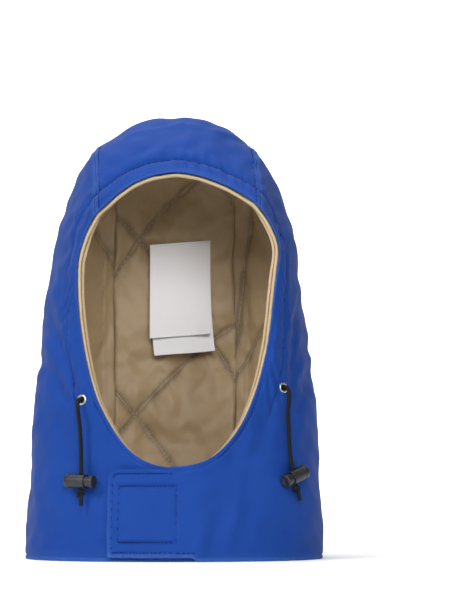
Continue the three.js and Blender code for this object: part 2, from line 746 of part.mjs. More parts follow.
/** The plunger, at rest: its cap stands off the barrel's mouth and its slot takes the cord. */
function lockPlunger() {
  const shaft = PLUNGER / 2;
  const cap = CAP / 2;
  const low = PRESS + GAP;
  const top = low + CAP_THICKNESS;
  const bevel = CAP_THICKNESS / 4;
  const profile = [
    [0, -PLUNGER_DEPTH], [shaft, -PLUNGER_DEPTH], [shaft, low], [cap, low], [cap, top - bevel],
    [cap - bevel, top], [0, top],
  ];
  const slot = [0, PRESS / 2, PRESS].map((shift) => cordWay(shift - CORD_FROM_MOUTH, LOCK_HOLE, BARREL));
  const middle = new THREE.BoxGeometry(LOCK_HOLE, PRESS, 2 * BARREL);
  middle.translate(0, PRESS / 2 - CORD_FROM_MOUTH, 0);
  return cut(turned(profile), ...slot, middle);
}

/** Places one half of a lock on its cord. */
function onCord(mesh, name) {
  const { up, side, tilt } = LOCKS[name];
  const curve = routeCurve(name);
  const share = solve((at) => curve.getPointAt(at).z - up, 0.3, 1);
  const middle = curve.getPointAt(share);
  const seat = findOnFront({ side: middle.x, up });
  const out = outward(foldedPoint, seat.along, seat.around);
  const level = new THREE.Vector3().crossVectors(out, UP).normalize().multiplyScalar(side);
  if (level.x * side < 0) level.negate();
  const turn = THREE.MathUtils.degToRad(tilt);
  const toEnd = level.multiplyScalar(Math.cos(turn)).addScaledVector(UP, Math.sin(turn));
  const mouth = middle.clone().addScaledVector(toEnd, -CORD_FROM_MOUTH);
  return place(mesh, mouth, toEnd.negate(), curve.getTangentAt(share).negate());
}

/** A knot and the cord's tail below it, about Y, with its top at Y = 0. */
function knot() {
  const cord = CORD / 2;
  const belly = KNOT / 2;
  const profile = [
    [0, -KNOT_LENGTH - KNOT_TAIL], [cord, -KNOT_LENGTH - KNOT_TAIL], [cord, -KNOT_LENGTH],
    [0.8 * belly, -0.85 * KNOT_LENGTH], [belly, -0.5 * KNOT_LENGTH], [0.8 * belly, -0.15 * KNOT_LENGTH],
    [cord, 0], [0, 0],
  ];
  return turned(profile, 10);
}

/** A knot set just below the end of its cord. */
function knotMesh(name) {
  const end = routeCurve(name).getPointAt(1);
  const down = routeCurve(name).getTangentAt(1);
  const mesh = piece(`cord_knot_${name}`, knot(), "cord");
  return place(mesh, end.addScaledVector(down, GAP), down.negate(), new THREE.Vector3(0, 1, 0));
}

/** The touch-and-close patch, between the flap and the panel under it. */
function closurePatch() {
  const left = PATCH_FROM_FLAP_END - FLAP_REACH;
  const arounds = mirrored(steps(left, left + PATCH_SIZE, 6).map((across) => chinAround(-across)));
  const columns = arounds.map((around) =>
    steps(PATCH_UP + PATCH_SIZE, PATCH_UP, 6).map((up) => alongAtHeight(up, around)),
  );
  const outer = layerGrid(arounds, columns, -GAP - PATCH_THICKNESS);
  return solidFromGrids(outer, layerGrid(arounds, columns, -GAP));
}

/** A label sewn to the centre lining by its top edge: it hangs plumb, a little curled. */
function label(drop, shift, layer, curl) {
  const depth = SHELL + LINING_CLEARANCE + PADDING;
  const middle = LABEL_SIDE + shift;
  const arounds = steps(-LABEL_WIDTH / 2, LABEL_WIDTH / 2, 4).map(
    (across) => (2 * (across + middle)) / SEAM_SPACING,
  );
  const wall = arounds.map((around) => {
    const along = solve((at) => layerPoint(at, around, depth).z - LABEL_TOP_UP, CROWN_END / 2, 1);
    return layerPoint(along, around, depth);
  });
  const grid = (front) =>
    steps(0, 1, 6).map((share) =>
      wall.map(
        (point) =>
          new THREE.Vector3(
            point.x,
            point.y - LABEL_STANDOFF - layer * (LABEL_THICKNESS + GAP) - front * LABEL_THICKNESS -
              curl * share ** 2,
            LABEL_TOP_UP - drop * share + LABEL_SLANT * (point.x - middle),
          ),
      ),
    );
  return solidFromGrids(grid(0), grid(1));
}

const hood = new THREE.Group();
hood.add(piece("centre_panel", centrePanel(), "shell"));
hood.add(piece("side_panel_left", punched(leftPanel(), "left"), "shell"));
hood.add(piece("side_panel_right", punched(rightPanel(), "right"), "shell"));
hood.add(piece("lining_centre", liningCentre(), "lining"));
hood.add(piece("lining_left", liningPanel(mirrored(liningArounds(-UNDERLAP_REACH))), "lining"));
const besideUnderlap = UNDERLAP_REACH + LAP_CLEARANCE;
hood.add(piece("lining_right", liningPanel(liningArounds(besideUnderlap)), "lining"));
hood.add(piece("face_binding", faceBinding(), "binding"));
hood.add(piece("closure_patch", closurePatch(), "patch"));
hood.add(piece("drawcord", drawcord(), "cord"));
hood.add(piece("label_back", label(BACK_LABEL_DROP, BACK_LABEL_SHIFT, 0, LABEL_CURL / 2), "label"));
hood.add(piece("label_front", label(FRONT_LABEL_DROP, 0, 1, LABEL_CURL), "label"));

for (const name of Object.keys(ROUTES)) {
  hood.add(eyelet(name));
  hood.add(piece(`cord_end_${name}`, tube(routeCurve(name), CORD, CORD_SIDES, FREE_CORD_STEP), "cord"));
  hood.add(onCord(piece(`cord_lock_barrel_${name}`, lockBarrel(), "plastic"), name));
  hood.add(onCord(piece(`cord_lock_plunger_${name}`, lockPlunger(), "plastic"), name));
  hood.add(knotMesh(name));
}

export default hood;
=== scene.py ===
"""A quilted, lined hood with a face opening, a chin flap and a drawcord, standing open on its hem.

The cloth is one bent tube, worked out from two numbers. "Along" goes from 0 at the face edge to 1 at the hem.
"Around" goes from 0 at the back to the panel seams at -1 and 1, to the chin's sides at -2 and 2 and to the
middle of the chin at -3 and 3. Every layer of cloth is this surface at its own depth below the outer face.
Metres, X to the right as the face opening is seen, Y to the back, Z up, hem on Z = 0.
"""

import logging
import math
from collections.abc import Callable, Sequence
from dataclasses import dataclass, field
from enum import Enum

import bpy
import numpy as np
from mathutils import Matrix, Vector


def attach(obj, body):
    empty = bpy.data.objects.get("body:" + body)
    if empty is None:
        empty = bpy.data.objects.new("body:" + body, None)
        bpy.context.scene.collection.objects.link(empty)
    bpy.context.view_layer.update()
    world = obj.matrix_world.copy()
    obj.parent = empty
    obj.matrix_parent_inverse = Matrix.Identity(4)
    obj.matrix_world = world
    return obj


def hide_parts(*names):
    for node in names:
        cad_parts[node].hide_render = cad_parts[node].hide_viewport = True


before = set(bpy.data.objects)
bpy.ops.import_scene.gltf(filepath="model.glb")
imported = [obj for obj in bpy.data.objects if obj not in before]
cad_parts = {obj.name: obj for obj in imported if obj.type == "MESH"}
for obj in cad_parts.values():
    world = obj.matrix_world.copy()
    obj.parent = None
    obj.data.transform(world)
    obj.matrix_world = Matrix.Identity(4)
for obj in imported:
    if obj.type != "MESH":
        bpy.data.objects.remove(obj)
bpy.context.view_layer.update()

log = logging.getLogger("hood")

Array = np.ndarray
Surface = Callable[[Array, Array], Array]

UP = np.array([0.0, 0.0, 1.0])
RIM_STEPS = np.array([0.0, 0.0006, 0.0014, 0.0024, 0.0036])

LOOP_COLUMNS = (
    "along", "top_back", "top_up", "chin_back", "chin_up", "narrow", "widest", "upper", "lower", "corner",
)
LOOPS = np.array([
    [0.0, 0.287, 0.851, 0.014, 1.0, 1.0, 0.7, 1.8, 2.15, 0.45],
    [0.08, 0.389, 0.935, 0.009, 0.92, 0.91, 0.56, 2.1, 2.05, 0.37],
    [0.16, 0.556, 0.995, 0.007, 0.85, 0.69, 0.46, 2.5, 2.0, 0.26],
    [0.24, 0.755, 0.99, 0.005, 0.77, 0.48, 0.41, 2.7, 2.0, 0.16],
    [0.34, 0.926, 0.907, 0.002, 0.67, 0.32, 0.4, 2.55, 2.05, 0.07],
    [0.46, 1.023, 0.756, 0.0, 0.545, 0.195, 0.415, 2.35, 2.1, 0.0],
    [0.6, 1.051, 0.569, 0.0, 0.405, 0.115, 0.43, 2.3, 2.15, 0.0],
    [0.74, 1.032, 0.378, 0.0, 0.25, 0.07, 0.455, 2.3, 2.2, 0.0],
    [0.88, 1.005, 0.171, 0.0, 0.115, 0.02, 0.5, 2.3, 2.27, 0.0],
    [1.0, 1.0, 0.0, 0.0, 0.0, 0.0, 0.5, 2.3, 2.3, 0.0],
])

FOLD_COLUMNS = ("face", "from_across", "from_up", "to_across", "to_up", "breadth", "rise")
FOLDS = np.array([
    [-1, 0.5, 0.77, 0.66, 0.7, 1.7, 0.9],
    [-1, -0.5, 0.77, -0.64, 0.7, 1.7, -0.7],
    [-1, -0.8, 0.6, -0.73, 0.38, 0.8, -0.5],
    [-1, 0.84, 0.62, 0.82, 0.4, 0.8, -0.5],
    [-1, -0.5, 0.26, -0.68, 0.08, 1.2, -0.5],
    [-1, 0.42, 0.2, 0.66, 0.06, 1.3, -0.45],
    [1, 0.48, 0.69, -0.05, 0.63, 0.9, -0.7],
    [1, 0.36, 0.58, -0.3, 0.54, 0.9, -0.6],
    [1, 0.52, 0.5, 0.19, 0.43, 0.9, 0.6],
    [1, -0.15, 0.38, -0.49, 0.36, 1.0, -0.6],
    [1, 0.3, 0.3, -0.1, 0.26, 1.1, 0.5],
    [1, 0.02, 0.12, -0.49, 0.11, 0.9, -0.5],
    [1, 0.56, 0.92, -0.4, 0.955, 0.8, -0.5],
])

FINE_COLUMNS = ("from_across", "from_up", "to_across", "to_up", "breadth", "rise")
FINE_FOLDS = np.array([
    [-0.1090, 0.236, -0.0800, 0.146, 0.0040, 0.0017],
    [-0.1140, 0.214, -0.0840, 0.143, 0.0036, -0.0017],
    [-0.1150, 0.190, -0.0870, 0.141, 0.0040, 0.0015],
    [-0.1180, 0.172, -0.0920, 0.134, 0.0050, -0.0021],
    [-0.1010, 0.296, -0.1090, 0.226, 0.0045, 0.0012],
    [-0.0960, 0.278, -0.0990, 0.206, 0.0032, -0.0013],
    [-0.0920, 0.250, -0.0900, 0.182, 0.0030, 0.0012],
    [-0.0800, 0.330, -0.0950, 0.276, 0.0050, 0.0014],
    [-0.0690, 0.328, -0.0840, 0.290, 0.0032, -0.0012],
    [0.1085, 0.240, 0.0990, 0.196, 0.0034, 0.0016],
    [0.1130, 0.226, 0.1030, 0.168, 0.0040, -0.0019],
    [0.1130, 0.200, 0.1040, 0.166, 0.0030, 0.0014],
    [0.1180, 0.176, 0.1040, 0.150, 0.0040, 0.0018],
    [0.1200, 0.160, 0.1080, 0.132, 0.0050, -0.0018],
    [0.0990, 0.262, 0.0995, 0.176, 0.0034, -0.0015],
    [0.0960, 0.286, 0.0985, 0.214, 0.0034, 0.0014],
    [0.0850, 0.322, 0.0960, 0.268, 0.0034, -0.0013],
    [0.0830, 0.170, 0.0930, 0.153, 0.0055, 0.0024],
    [-0.0590, 0.336, -0.0210, 0.362, 0.0050, -0.0011],
    [-0.0440, 0.376, 0.0060, 0.3865, 0.0024, 0.0013],
    [0.0060, 0.3865, 0.0580, 0.377, 0.0024, 0.0012],
    [-0.0740, 0.104, -0.0600, 0.040, 0.0060, 0.0011],
    [0.0660, 0.104, 0.0500, 0.034, 0.0060, 0.0010],
    [0.1140, 0.138, 0.1040, 0.080, 0.0070, 0.0013],
    [-0.1040, 0.118, -0.0700, 0.060, 0.0090, -0.0019],
    [-0.0860, 0.050, -0.0640, 0.014, 0.0070, -0.0016],
    [-0.1160, 0.096, -0.1060, 0.030, 0.0080, -0.0014],
    [0.0760, 0.132, 0.0560, 0.052, 0.0090, -0.0017],
    [0.1080, 0.110, 0.0960, 0.028, 0.0080, -0.0016],
    [0.0420, 0.070, 0.0300, 0.018, 0.0090, -0.0012],
])

ROUTES = {
    "left": np.array([
        [-78.5, -86.8, 135.9], [-79.7, -88.9, 136.1], [-80.9, -90.9, 136.3], [-81.7, -94.1, 134.9],
        [-82.1, -96.8, 132.3], [-82.1, -98.4, 128.8], [-81.7, -99.1, 124.5], [-81, -99.1, 119],
        [-80.2, -98.8, 112], [-79.6, -98, 104], [-79.2, -97.6, 96], [-79, -97.2, 88],
        [-78.9, -97.2, 80], [-78.8, -97.4, 72], [-78.8, -97.5, 65], [-78.8, -97.6, 60.2],
    ]) / 1000,
    "right": np.array([
        [92.2, -76.3, 147], [93.8, -78, 147.2], [95.3, -79.7, 147.3], [96, -83, 146.1],
        [96.9, -85.4, 143.6], [97.3, -86.9, 139.9], [97, -87.7, 135.3], [96.3, -88.3, 129],
        [96.2, -88.2, 121], [96.7, -87.5, 113], [97, -87.1, 105], [97.5, -86.9, 97],
        [98.2, -86.6, 89], [99.6, -85.8, 80], [101.7, -83.9, 71], [103.4, -82.3, 64.2],
    ]) / 1000,
}


class Slot(Enum):
    """The record's material slots."""

    SHELL = "shell_twill"
    LINING = "quilted_lining"
    BINDING = "binding_tape"
    FASTENER = "touch_fastener"
    CORD = "elastic_cord"
    NICKEL = "nickel"
    PLASTIC = "lock_plastic"
    LABEL = "label_tape"


def mix(low: Array, high: Array, share: Array) -> Array:
    """Go straight from low at share 0 to high at share 1."""
    return low + (high - low) * share


def smooth(low: float, high: float, value: Array) -> Array:
    """Go from 0 at low to 1 at high on an S curve: three squares less two cubes of the share."""
    share = np.clip((value - low) / (high - low), 0, 1)
    return share * share * (3 - 2 * share)


def hill(distance: Array, breadth: float) -> Array:
    """Give a round hill of height 1: e to the minus square of distance over breadth."""
    return np.exp(-((distance / breadth) ** 2))


def rolled(distance: Array, radius: float) -> Array:
    """Give the drop of a quarter round at an edge: radius at the edge, and 0 from one radius inwards."""
    left = np.clip(radius - distance, 0, radius)
    return radius - np.sqrt(radius**2 - left**2)


def unit(vectors: Array) -> Array:
    """Scale vectors to a length of 1."""
    return vectors / np.linalg.norm(vectors, axis=-1, keepdims=True)


def solve(fall: Callable[[Array], Array], low: Array, high: Array) -> Array:
    """Find where a falling function passes zero, for many ranges at once, by halving them.

    Args:
        fall: Function of an array of places, positive before the answer and negative after it.
        low: Starts of the ranges.
        high: Ends of the ranges.

    Returns:
        The place of each answer.
    """
    for _ in range(36):
        middle = (low + high) / 2
        before = fall(middle) > 0
        low = np.where(before, middle, low)
        high = np.where(before, high, middle)
    return (low + high) / 2


def travelled(points: Array, axis: int) -> Array:
    """Add up the distance along one axis of a grid of points, from 0 at its first row or column."""
    lengths = np.linalg.norm(np.diff(points, axis=axis), axis=-1)
    start = np.zeros_like(np.take(lengths, [0], axis=axis))
    return np.concatenate([start, np.cumsum(lengths, axis=axis)], axis=axis)


def spaced(path: Array, count: int) -> Array:
    """Share a path out evenly into a number of points, by linear steps along its length."""
    length = travelled(path, 0)
    stops = np.linspace(0, length[-1], count)
    return np.stack([np.interp(stops, length, path[:, k]) for k in range(path.shape[1])], axis=-1)


def between(grid: Array, row: Array, column: Array) -> Array:
    """Read a grid of points at fractional rows and columns, by straight steps both ways."""
    r = np.clip(np.floor(row).astype(int), 0, grid.shape[0] - 2)
    c = np.clip(np.floor(column).astype(int), 0, grid.shape[1] - 2)
    down, across = (row - r)[..., None], (column - c)[..., None]
    upper = mix(grid[r, c], grid[r, c + 1], across)
    return mix(upper, mix(grid[r + 1, c], grid[r + 1, c + 1], across), down)


def waves(points: Array, length: float, seed: int, count: int = 9) -> Array:
    """Add plane sine waves of about one length, in random directions and phases, to a height near 1.

    Args:
        points: Places, in any shape that ends with 3.
        length: Wave length in metres.
        seed: Seed of the directions and phases.
        count: Number of waves.

    Returns:
        The height at each place.
    """
    draw = np.random.default_rng(seed)
    turns = unit(draw.normal(size=(count, 3))) * 2 * np.pi / (length * draw.uniform(0.8, 1.3, (count, 1)))
    phases = draw.uniform(0, 2 * np.pi, count)
    return np.sin(points @ turns.T + phases).sum(axis=-1) / math.sqrt(count)


@dataclass(frozen=True)
class CurveTable:
    """Smooth curves through the columns of a table whose first column is the place on the curve.

    Between two rows the curve is a cubic. Its slope at a row is the mean of the slopes to both neighbours,
    each weighted by the other's distance.
    """

    columns: tuple[str, ...]
    rows: Array

    def slopes(self) -> Array:
        """Work out the slope of every curve at every row."""
        gaps = np.diff(self.rows[:, 0])[:, None]
        chords = np.diff(self.rows[:, 1:], axis=0) / gaps
        middle = (chords[:-1] * gaps[1:] + chords[1:] * gaps[:-1]) / (gaps[:-1] + gaps[1:])
        return np.concatenate([chords[:1], middle, chords[-1:]])

    def __call__(self, place: Array) -> dict[str, Array]:
        """Read every curve at the places given.

        Args:
            place: Places on the curves, of any shape.

        Returns:
            One array of that shape for each column's name.
        """
        at = self.rows[:, 0]
        values = self.rows[:, 1:]
        slopes = self.slopes()
        place = np.clip(place, at[0], at[-1])
        row = np.clip(np.searchsorted(at, place, side="left") - 1, 0, len(at) - 2)
        step = (at[row + 1] - at[row])[..., None]
        t = (place - at[row])[..., None] / step
        found = (
            (2 * t**3 - 3 * t**2 + 1) * values[row]
            + (t**3 - 2 * t**2 + t) * step * slopes[row]
            + (3 * t**2 - 2 * t**3) * values[row + 1]
            + (t**3 - t**2) * step * slopes[row + 1]
        )
        return {name: found[..., k] for k, name in enumerate(self.columns[1:])}


LOOP_CURVES = CurveTable(LOOP_COLUMNS, LOOPS)


@dataclass(frozen=True)
class HoodForm:
    """The form that every layer of cloth follows, with its large folds."""

    height: float = 0.397
    hem_width: float = 0.262
    hem_depth: float = 0.216
    chin_height: float = 0.079
    face_width: float = 0.175
    seam_spacing: float = 0.142
    setback: float = 0.0035
    chin_side: float = 0.060
    corner_turn: float = 0.7
    seam_ridge: float = 0.0016
    seam_ridge_breadth: float = 0.007
    fold_breadth: float = 0.018
    fold_rise: float = 0.006
    fold_fade: tuple[float, float] = (-0.020, 0.030)
    steady_breadth: float = 0.0094
    eyelets: tuple[tuple[float, float], ...] = ((-0.0790, 0.136), (0.0925, 0.147))

    def loop(self, along: Array) -> dict[str, Array]:
        """Give the egg of each loop: its two ends, its half width and the angles of seam and chin side."""
        read = LOOP_CURVES(along)
        half = mix(self.hem_width, self.face_width, read["narrow"]) / 2
        front = -self.hem_depth / 2 - self.setback
        return {
            "top_y": front + read["top_back"] * self.hem_depth,
            "top_z": read["top_up"] * self.height,
            "chin_y": front + read["chin_back"] * self.hem_depth,
            "chin_z": read["chin_up"] * self.chin_height,
            "widest": read["widest"],
            "corner": read["corner"],
            "upper": read["upper"],
            "lower": read["lower"],
            "half": half,
            "seam_turn": np.arccos((self.seam_spacing / 2 / half) ** (read["upper"] / 2)),
            "chin_turn": -np.arccos((self.chin_side / half) ** (read["lower"] / 2)),
        }

    def cornered(self, share: Array, corner: Array) -> Array:
        """Shift a share of the way down by corner times share, its rest and its excess over the turn."""
        return share + corner * share * (1 - share) * (share - self.corner_turn)

    def base(self, along: Array, around: Array) -> Array:
        """Give points of the smooth outer face, before folds.

        A loop's outline is a superellipse in two halves. Across is the half width times the cosine of the
        turn, and the share of the way from chin to top is the widest share plus the reach times the sine,
        both to the power of two over the half's squareness. The lower half is fuller beside the chin by its
        corner.

        Args:
            along: Places from the face edge to the hem.
            around: Places from the back to the chin, of the same shape.

        Returns:
            The points, in one more axis of 3.
        """
        egg = self.loop(along)
        half, widest, upper, lower = egg["half"], egg["widest"], egg["upper"], egg["lower"]
        from_back = np.abs(around)
        back_across = np.minimum(from_back, 1) * self.seam_spacing / 2
        back_share = widest + (1 - widest) * (1 - (back_across / half) ** upper) ** (1 / upper)
        turn = mix(egg["seam_turn"], egg["chin_turn"], np.clip(from_back - 1, 0, 1))
        power = np.where(turn >= 0, upper, lower)
        side_across = half * np.cos(turn) ** (2 / power)
        climb = np.abs(np.sin(turn)) ** (2 / power)
        fall = -widest * self.cornered(climb, egg["corner"])
        side_share = widest + np.where(turn >= 0, (1 - widest) * climb, fall)
        chin_across = self.chin_side * (3 - np.maximum(from_back, 2))
        climb = (1 - (np.abs(chin_across) / half) ** lower) ** (1 / lower)
        chin_share = widest - widest * self.cornered(climb, egg["corner"])
        at_back, at_side = from_back <= 1, from_back <= 2
        across = np.where(at_back, back_across, np.where(at_side, side_across, chin_across))
        share = np.where(at_back, back_share, np.where(at_side, side_share, chin_share))
        side = np.where(around < 0, -1.0, 1.0)
        return np.stack(
            [
                side * across,
                mix(egg["chin_y"], egg["top_y"], share),
                mix(egg["chin_z"], egg["top_z"], share),
            ],
            axis=-1,
        )

    def outward(self, surface: Surface, along: Array, around: Array) -> Array:
        """Give the outward direction: the cross product of a short step around and one along."""
        step = 0.004
        level = surface(along, around + step) - surface(along, around - step)
        down = surface(np.minimum(along + step, 1), around) - surface(np.maximum(along - step, 0), around)
        return unit(np.cross(level, down))

    def fold_rise_at(self, point: Array, around: Array) -> Array:
        """Add up the folds' hills, each by the distance from its line, and the ridges of the two seams."""
        rise = np.zeros(point.shape[:-1])
        for row in FOLDS:
            fold = dict(zip(FOLD_COLUMNS, row))
            gate = smooth(*self.fold_fade, fold["face"] * point[..., 1])
            start = np.array([fold["from_across"] * self.hem_width / 2, fold["from_up"] * self.height])
            line = np.array([fold["to_across"] * self.hem_width / 2, fold["to_up"] * self.height]) - start
            here = point[..., [0, 2]] - start
            share = np.clip(here @ line / (line @ line), 0, 1)
            apart = np.linalg.norm(here - share[..., None] * line, axis=-1)
            rise += gate * fold["rise"] * self.fold_rise * hill(apart, fold["breadth"] * self.fold_breadth)
        seam = self.seam_ridge * hill(np.abs(point[..., 0]) - self.seam_spacing / 2, self.seam_ridge_breadth)
        return rise + np.where(np.abs(around) < 1.5, seam, 0)

    def freedom(self, point: Array, along: Array) -> Array:
        """Say how free the cloth is to leave its smooth form: 0 at the hem and at the eyelets, and else 1."""
        free = 1 - smooth(0.93, 1, along)
        for side, up in self.eyelets:
            apart = np.hypot(point[..., 0] - side, point[..., 2] - up)
            free = free * np.where(point[..., 1] < 0, 1 - hill(apart, self.steady_breadth), 1)
        return free

    def folded(self, along: Array, around: Array) -> Array:
        """Give points of the outer face with its large folds: the smooth form moved out by their rise."""
        point = self.base(along, around)
        rise = self.fold_rise_at(point, around) * self.freedom(point, along)
        return point + self.outward(self.base, along, around) * rise[..., None]

    def face_edge(self, count: int = 480) -> tuple[Array, Array]:
        """Give even steps around the face edge and their points."""
        around = np.linspace(-3, 3, count)
        return around, self.base(np.zeros(count), around)

    def from_edge(self, point: Array) -> Array:
        """Give the distance of each point to the nearest point of the face edge.

        The square of a distance is the sum of both squares less twice the product, so that all pairs come
        from one matrix product.
        """
        _, edge = self.face_edge()
        flat = point.reshape(-1, 3)
        squares = (flat**2).sum(1)[:, None] + (edge**2).sum(1) - 2 * flat @ edge.T
        return np.sqrt(np.maximum(squares.min(axis=1), 0)).reshape(point.shape[:-1])

    def along_from_edge(self, distance: Array | float, around: Array) -> Array:
        """Find the along value that lies a distance from the face edge."""
        start = np.zeros_like(around)
        return solve(lambda along: distance - self.from_edge(self.base(along, around)), start, start + 0.6)

    def along_at_height(self, up: Array, around: Array) -> Array:
        """Find the along value at a height above the hem."""
        start = np.zeros_like(around)
        return solve(lambda along: self.base(along, around)[..., 2] - up, start, start + 1)

    def find_on_front(self, side: float, up: float) -> tuple[float, float]:
        """Find the along and around values of a point of the front from its side and height.

        Args:
            side: Distance to the right of the middle.
            up: Height above the hem.

        Returns:
            Along and around.
        """
        reach = abs(side)

        def around_at(along: Array) -> Array:
            """Find the around value on the front at the distance to the side."""
            egg = self.loop(along)
            widest_around = 1 + egg["seam_turn"] / (egg["seam_turn"] - egg["chin_turn"])
            return solve(
                lambda around: self.base(along, around)[..., 0] - reach, widest_around, np.full_like(along, 3)
            )

        def too_high(along: Array) -> Array:
            """Give how far a loop's point lies above the height, or 1 where the loop is too narrow."""
            height = self.base(along, around_at(along))[..., 2]
            return np.where(self.loop(along)["half"] <= reach, 1, height - up)

        along = solve(too_high, np.zeros(1), np.ones(1))
        return float(along[0]), math.copysign(float(around_at(along)[0]), side)


@dataclass(frozen=True)
class ChinLap:
    """How the right panel's flap lies over the left panel at the chin."""

    form: HoodForm
    reach: float = 0.056
    underlap: float = 0.017
    thickness: float = 0.0028
    top_up: float = 0.077
    corner: float = 0.009
    hem_up: float = 0.003
    dip: float = 0.0022
    over_lift: float = 0.0026
    patch: float = 0.048
    patch_thickness: float = 0.0014
    patch_from_end: float = 0.009
    patch_up: float = 0.015
    inset: float = 0.0038
    level_valley: float = 0.0015
    plumb_valley: float = 0.0010
    valley_breadth: float = 0.0015
    edge_valley: float = 0.0009
    edge_breadth: float = 0.0011
    hem_roll: float = 0.0007

    def around(self, across: Array) -> Array:
        """Turn a distance to the side into an around value on the chin."""
        return 3 - across / self.form.chin_side

    def flap_share(self, around: Array) -> Array:
        """Say how much of the flap's lift is reached: 0 beside the chin and 1 on the flap."""
        across = self.form.chin_side * (3 - around)
        return np.where(around < 2, 0, 1 - smooth(self.underlap + 0.002, self.underlap + 0.024, across))

    def under_dip(self, point: Array, around: Array) -> Array:
        """Give how far the left panel sinks under the flap."""
        behind = smooth(-self.reach - 0.018, -self.reach - 0.001, point[..., 0])
        at_chin = 1 - smooth(self.top_up + 0.010, self.top_up + 0.045, point[..., 2])
        return np.where(around > -1.5, 0, self.dip * behind * at_chin)

    def box(self) -> tuple[float, float, float, float]:
        """Give the boxed stitching's left, right, low and high lines."""
        left = self.patch_from_end - self.reach
        return left, left + self.patch, self.patch_up + 0.001, self.patch_up + self.patch

    def sewn(self, across: Array, up: Array) -> Array:
        """Give how deep the boxed stitching and the row along the edges pull the flap in."""
        left, right, low, high = self.box()
        beside = np.clip(np.maximum(left - across, across - right), 0, None)
        above = np.clip(np.maximum(low - up, up - high), 0, None)
        level = hill(np.hypot(np.minimum(np.abs(up - low), np.abs(up - high)), beside), self.valley_breadth)
        beside_line = np.minimum(np.abs(across - left), np.abs(across - right))
        plumb = hill(np.hypot(beside_line, above), self.valley_breadth)
        from_end = np.minimum(across + self.reach, self.top(np.maximum(across, -self.reach)) - up)
        from_rim = np.minimum(from_end, up - self.hem_up - self.hem_roll)
        edge = self.edge_valley * hill(from_rim - self.inset, self.edge_breadth)
        box = np.maximum(self.level_valley * level, self.plumb_valley * plumb)
        return np.where(across < self.underlap, np.maximum(box, np.where(across < 0, edge, 0)), 0)

    def top(self, across: Array) -> Array:
        """Give the height of the flap's top edge: level, with a round corner at its end."""
        from_corner = self.corner - np.clip(across + self.reach, 0, self.corner)
        return self.top_up - self.corner + np.sqrt(self.corner**2 - from_corner**2)


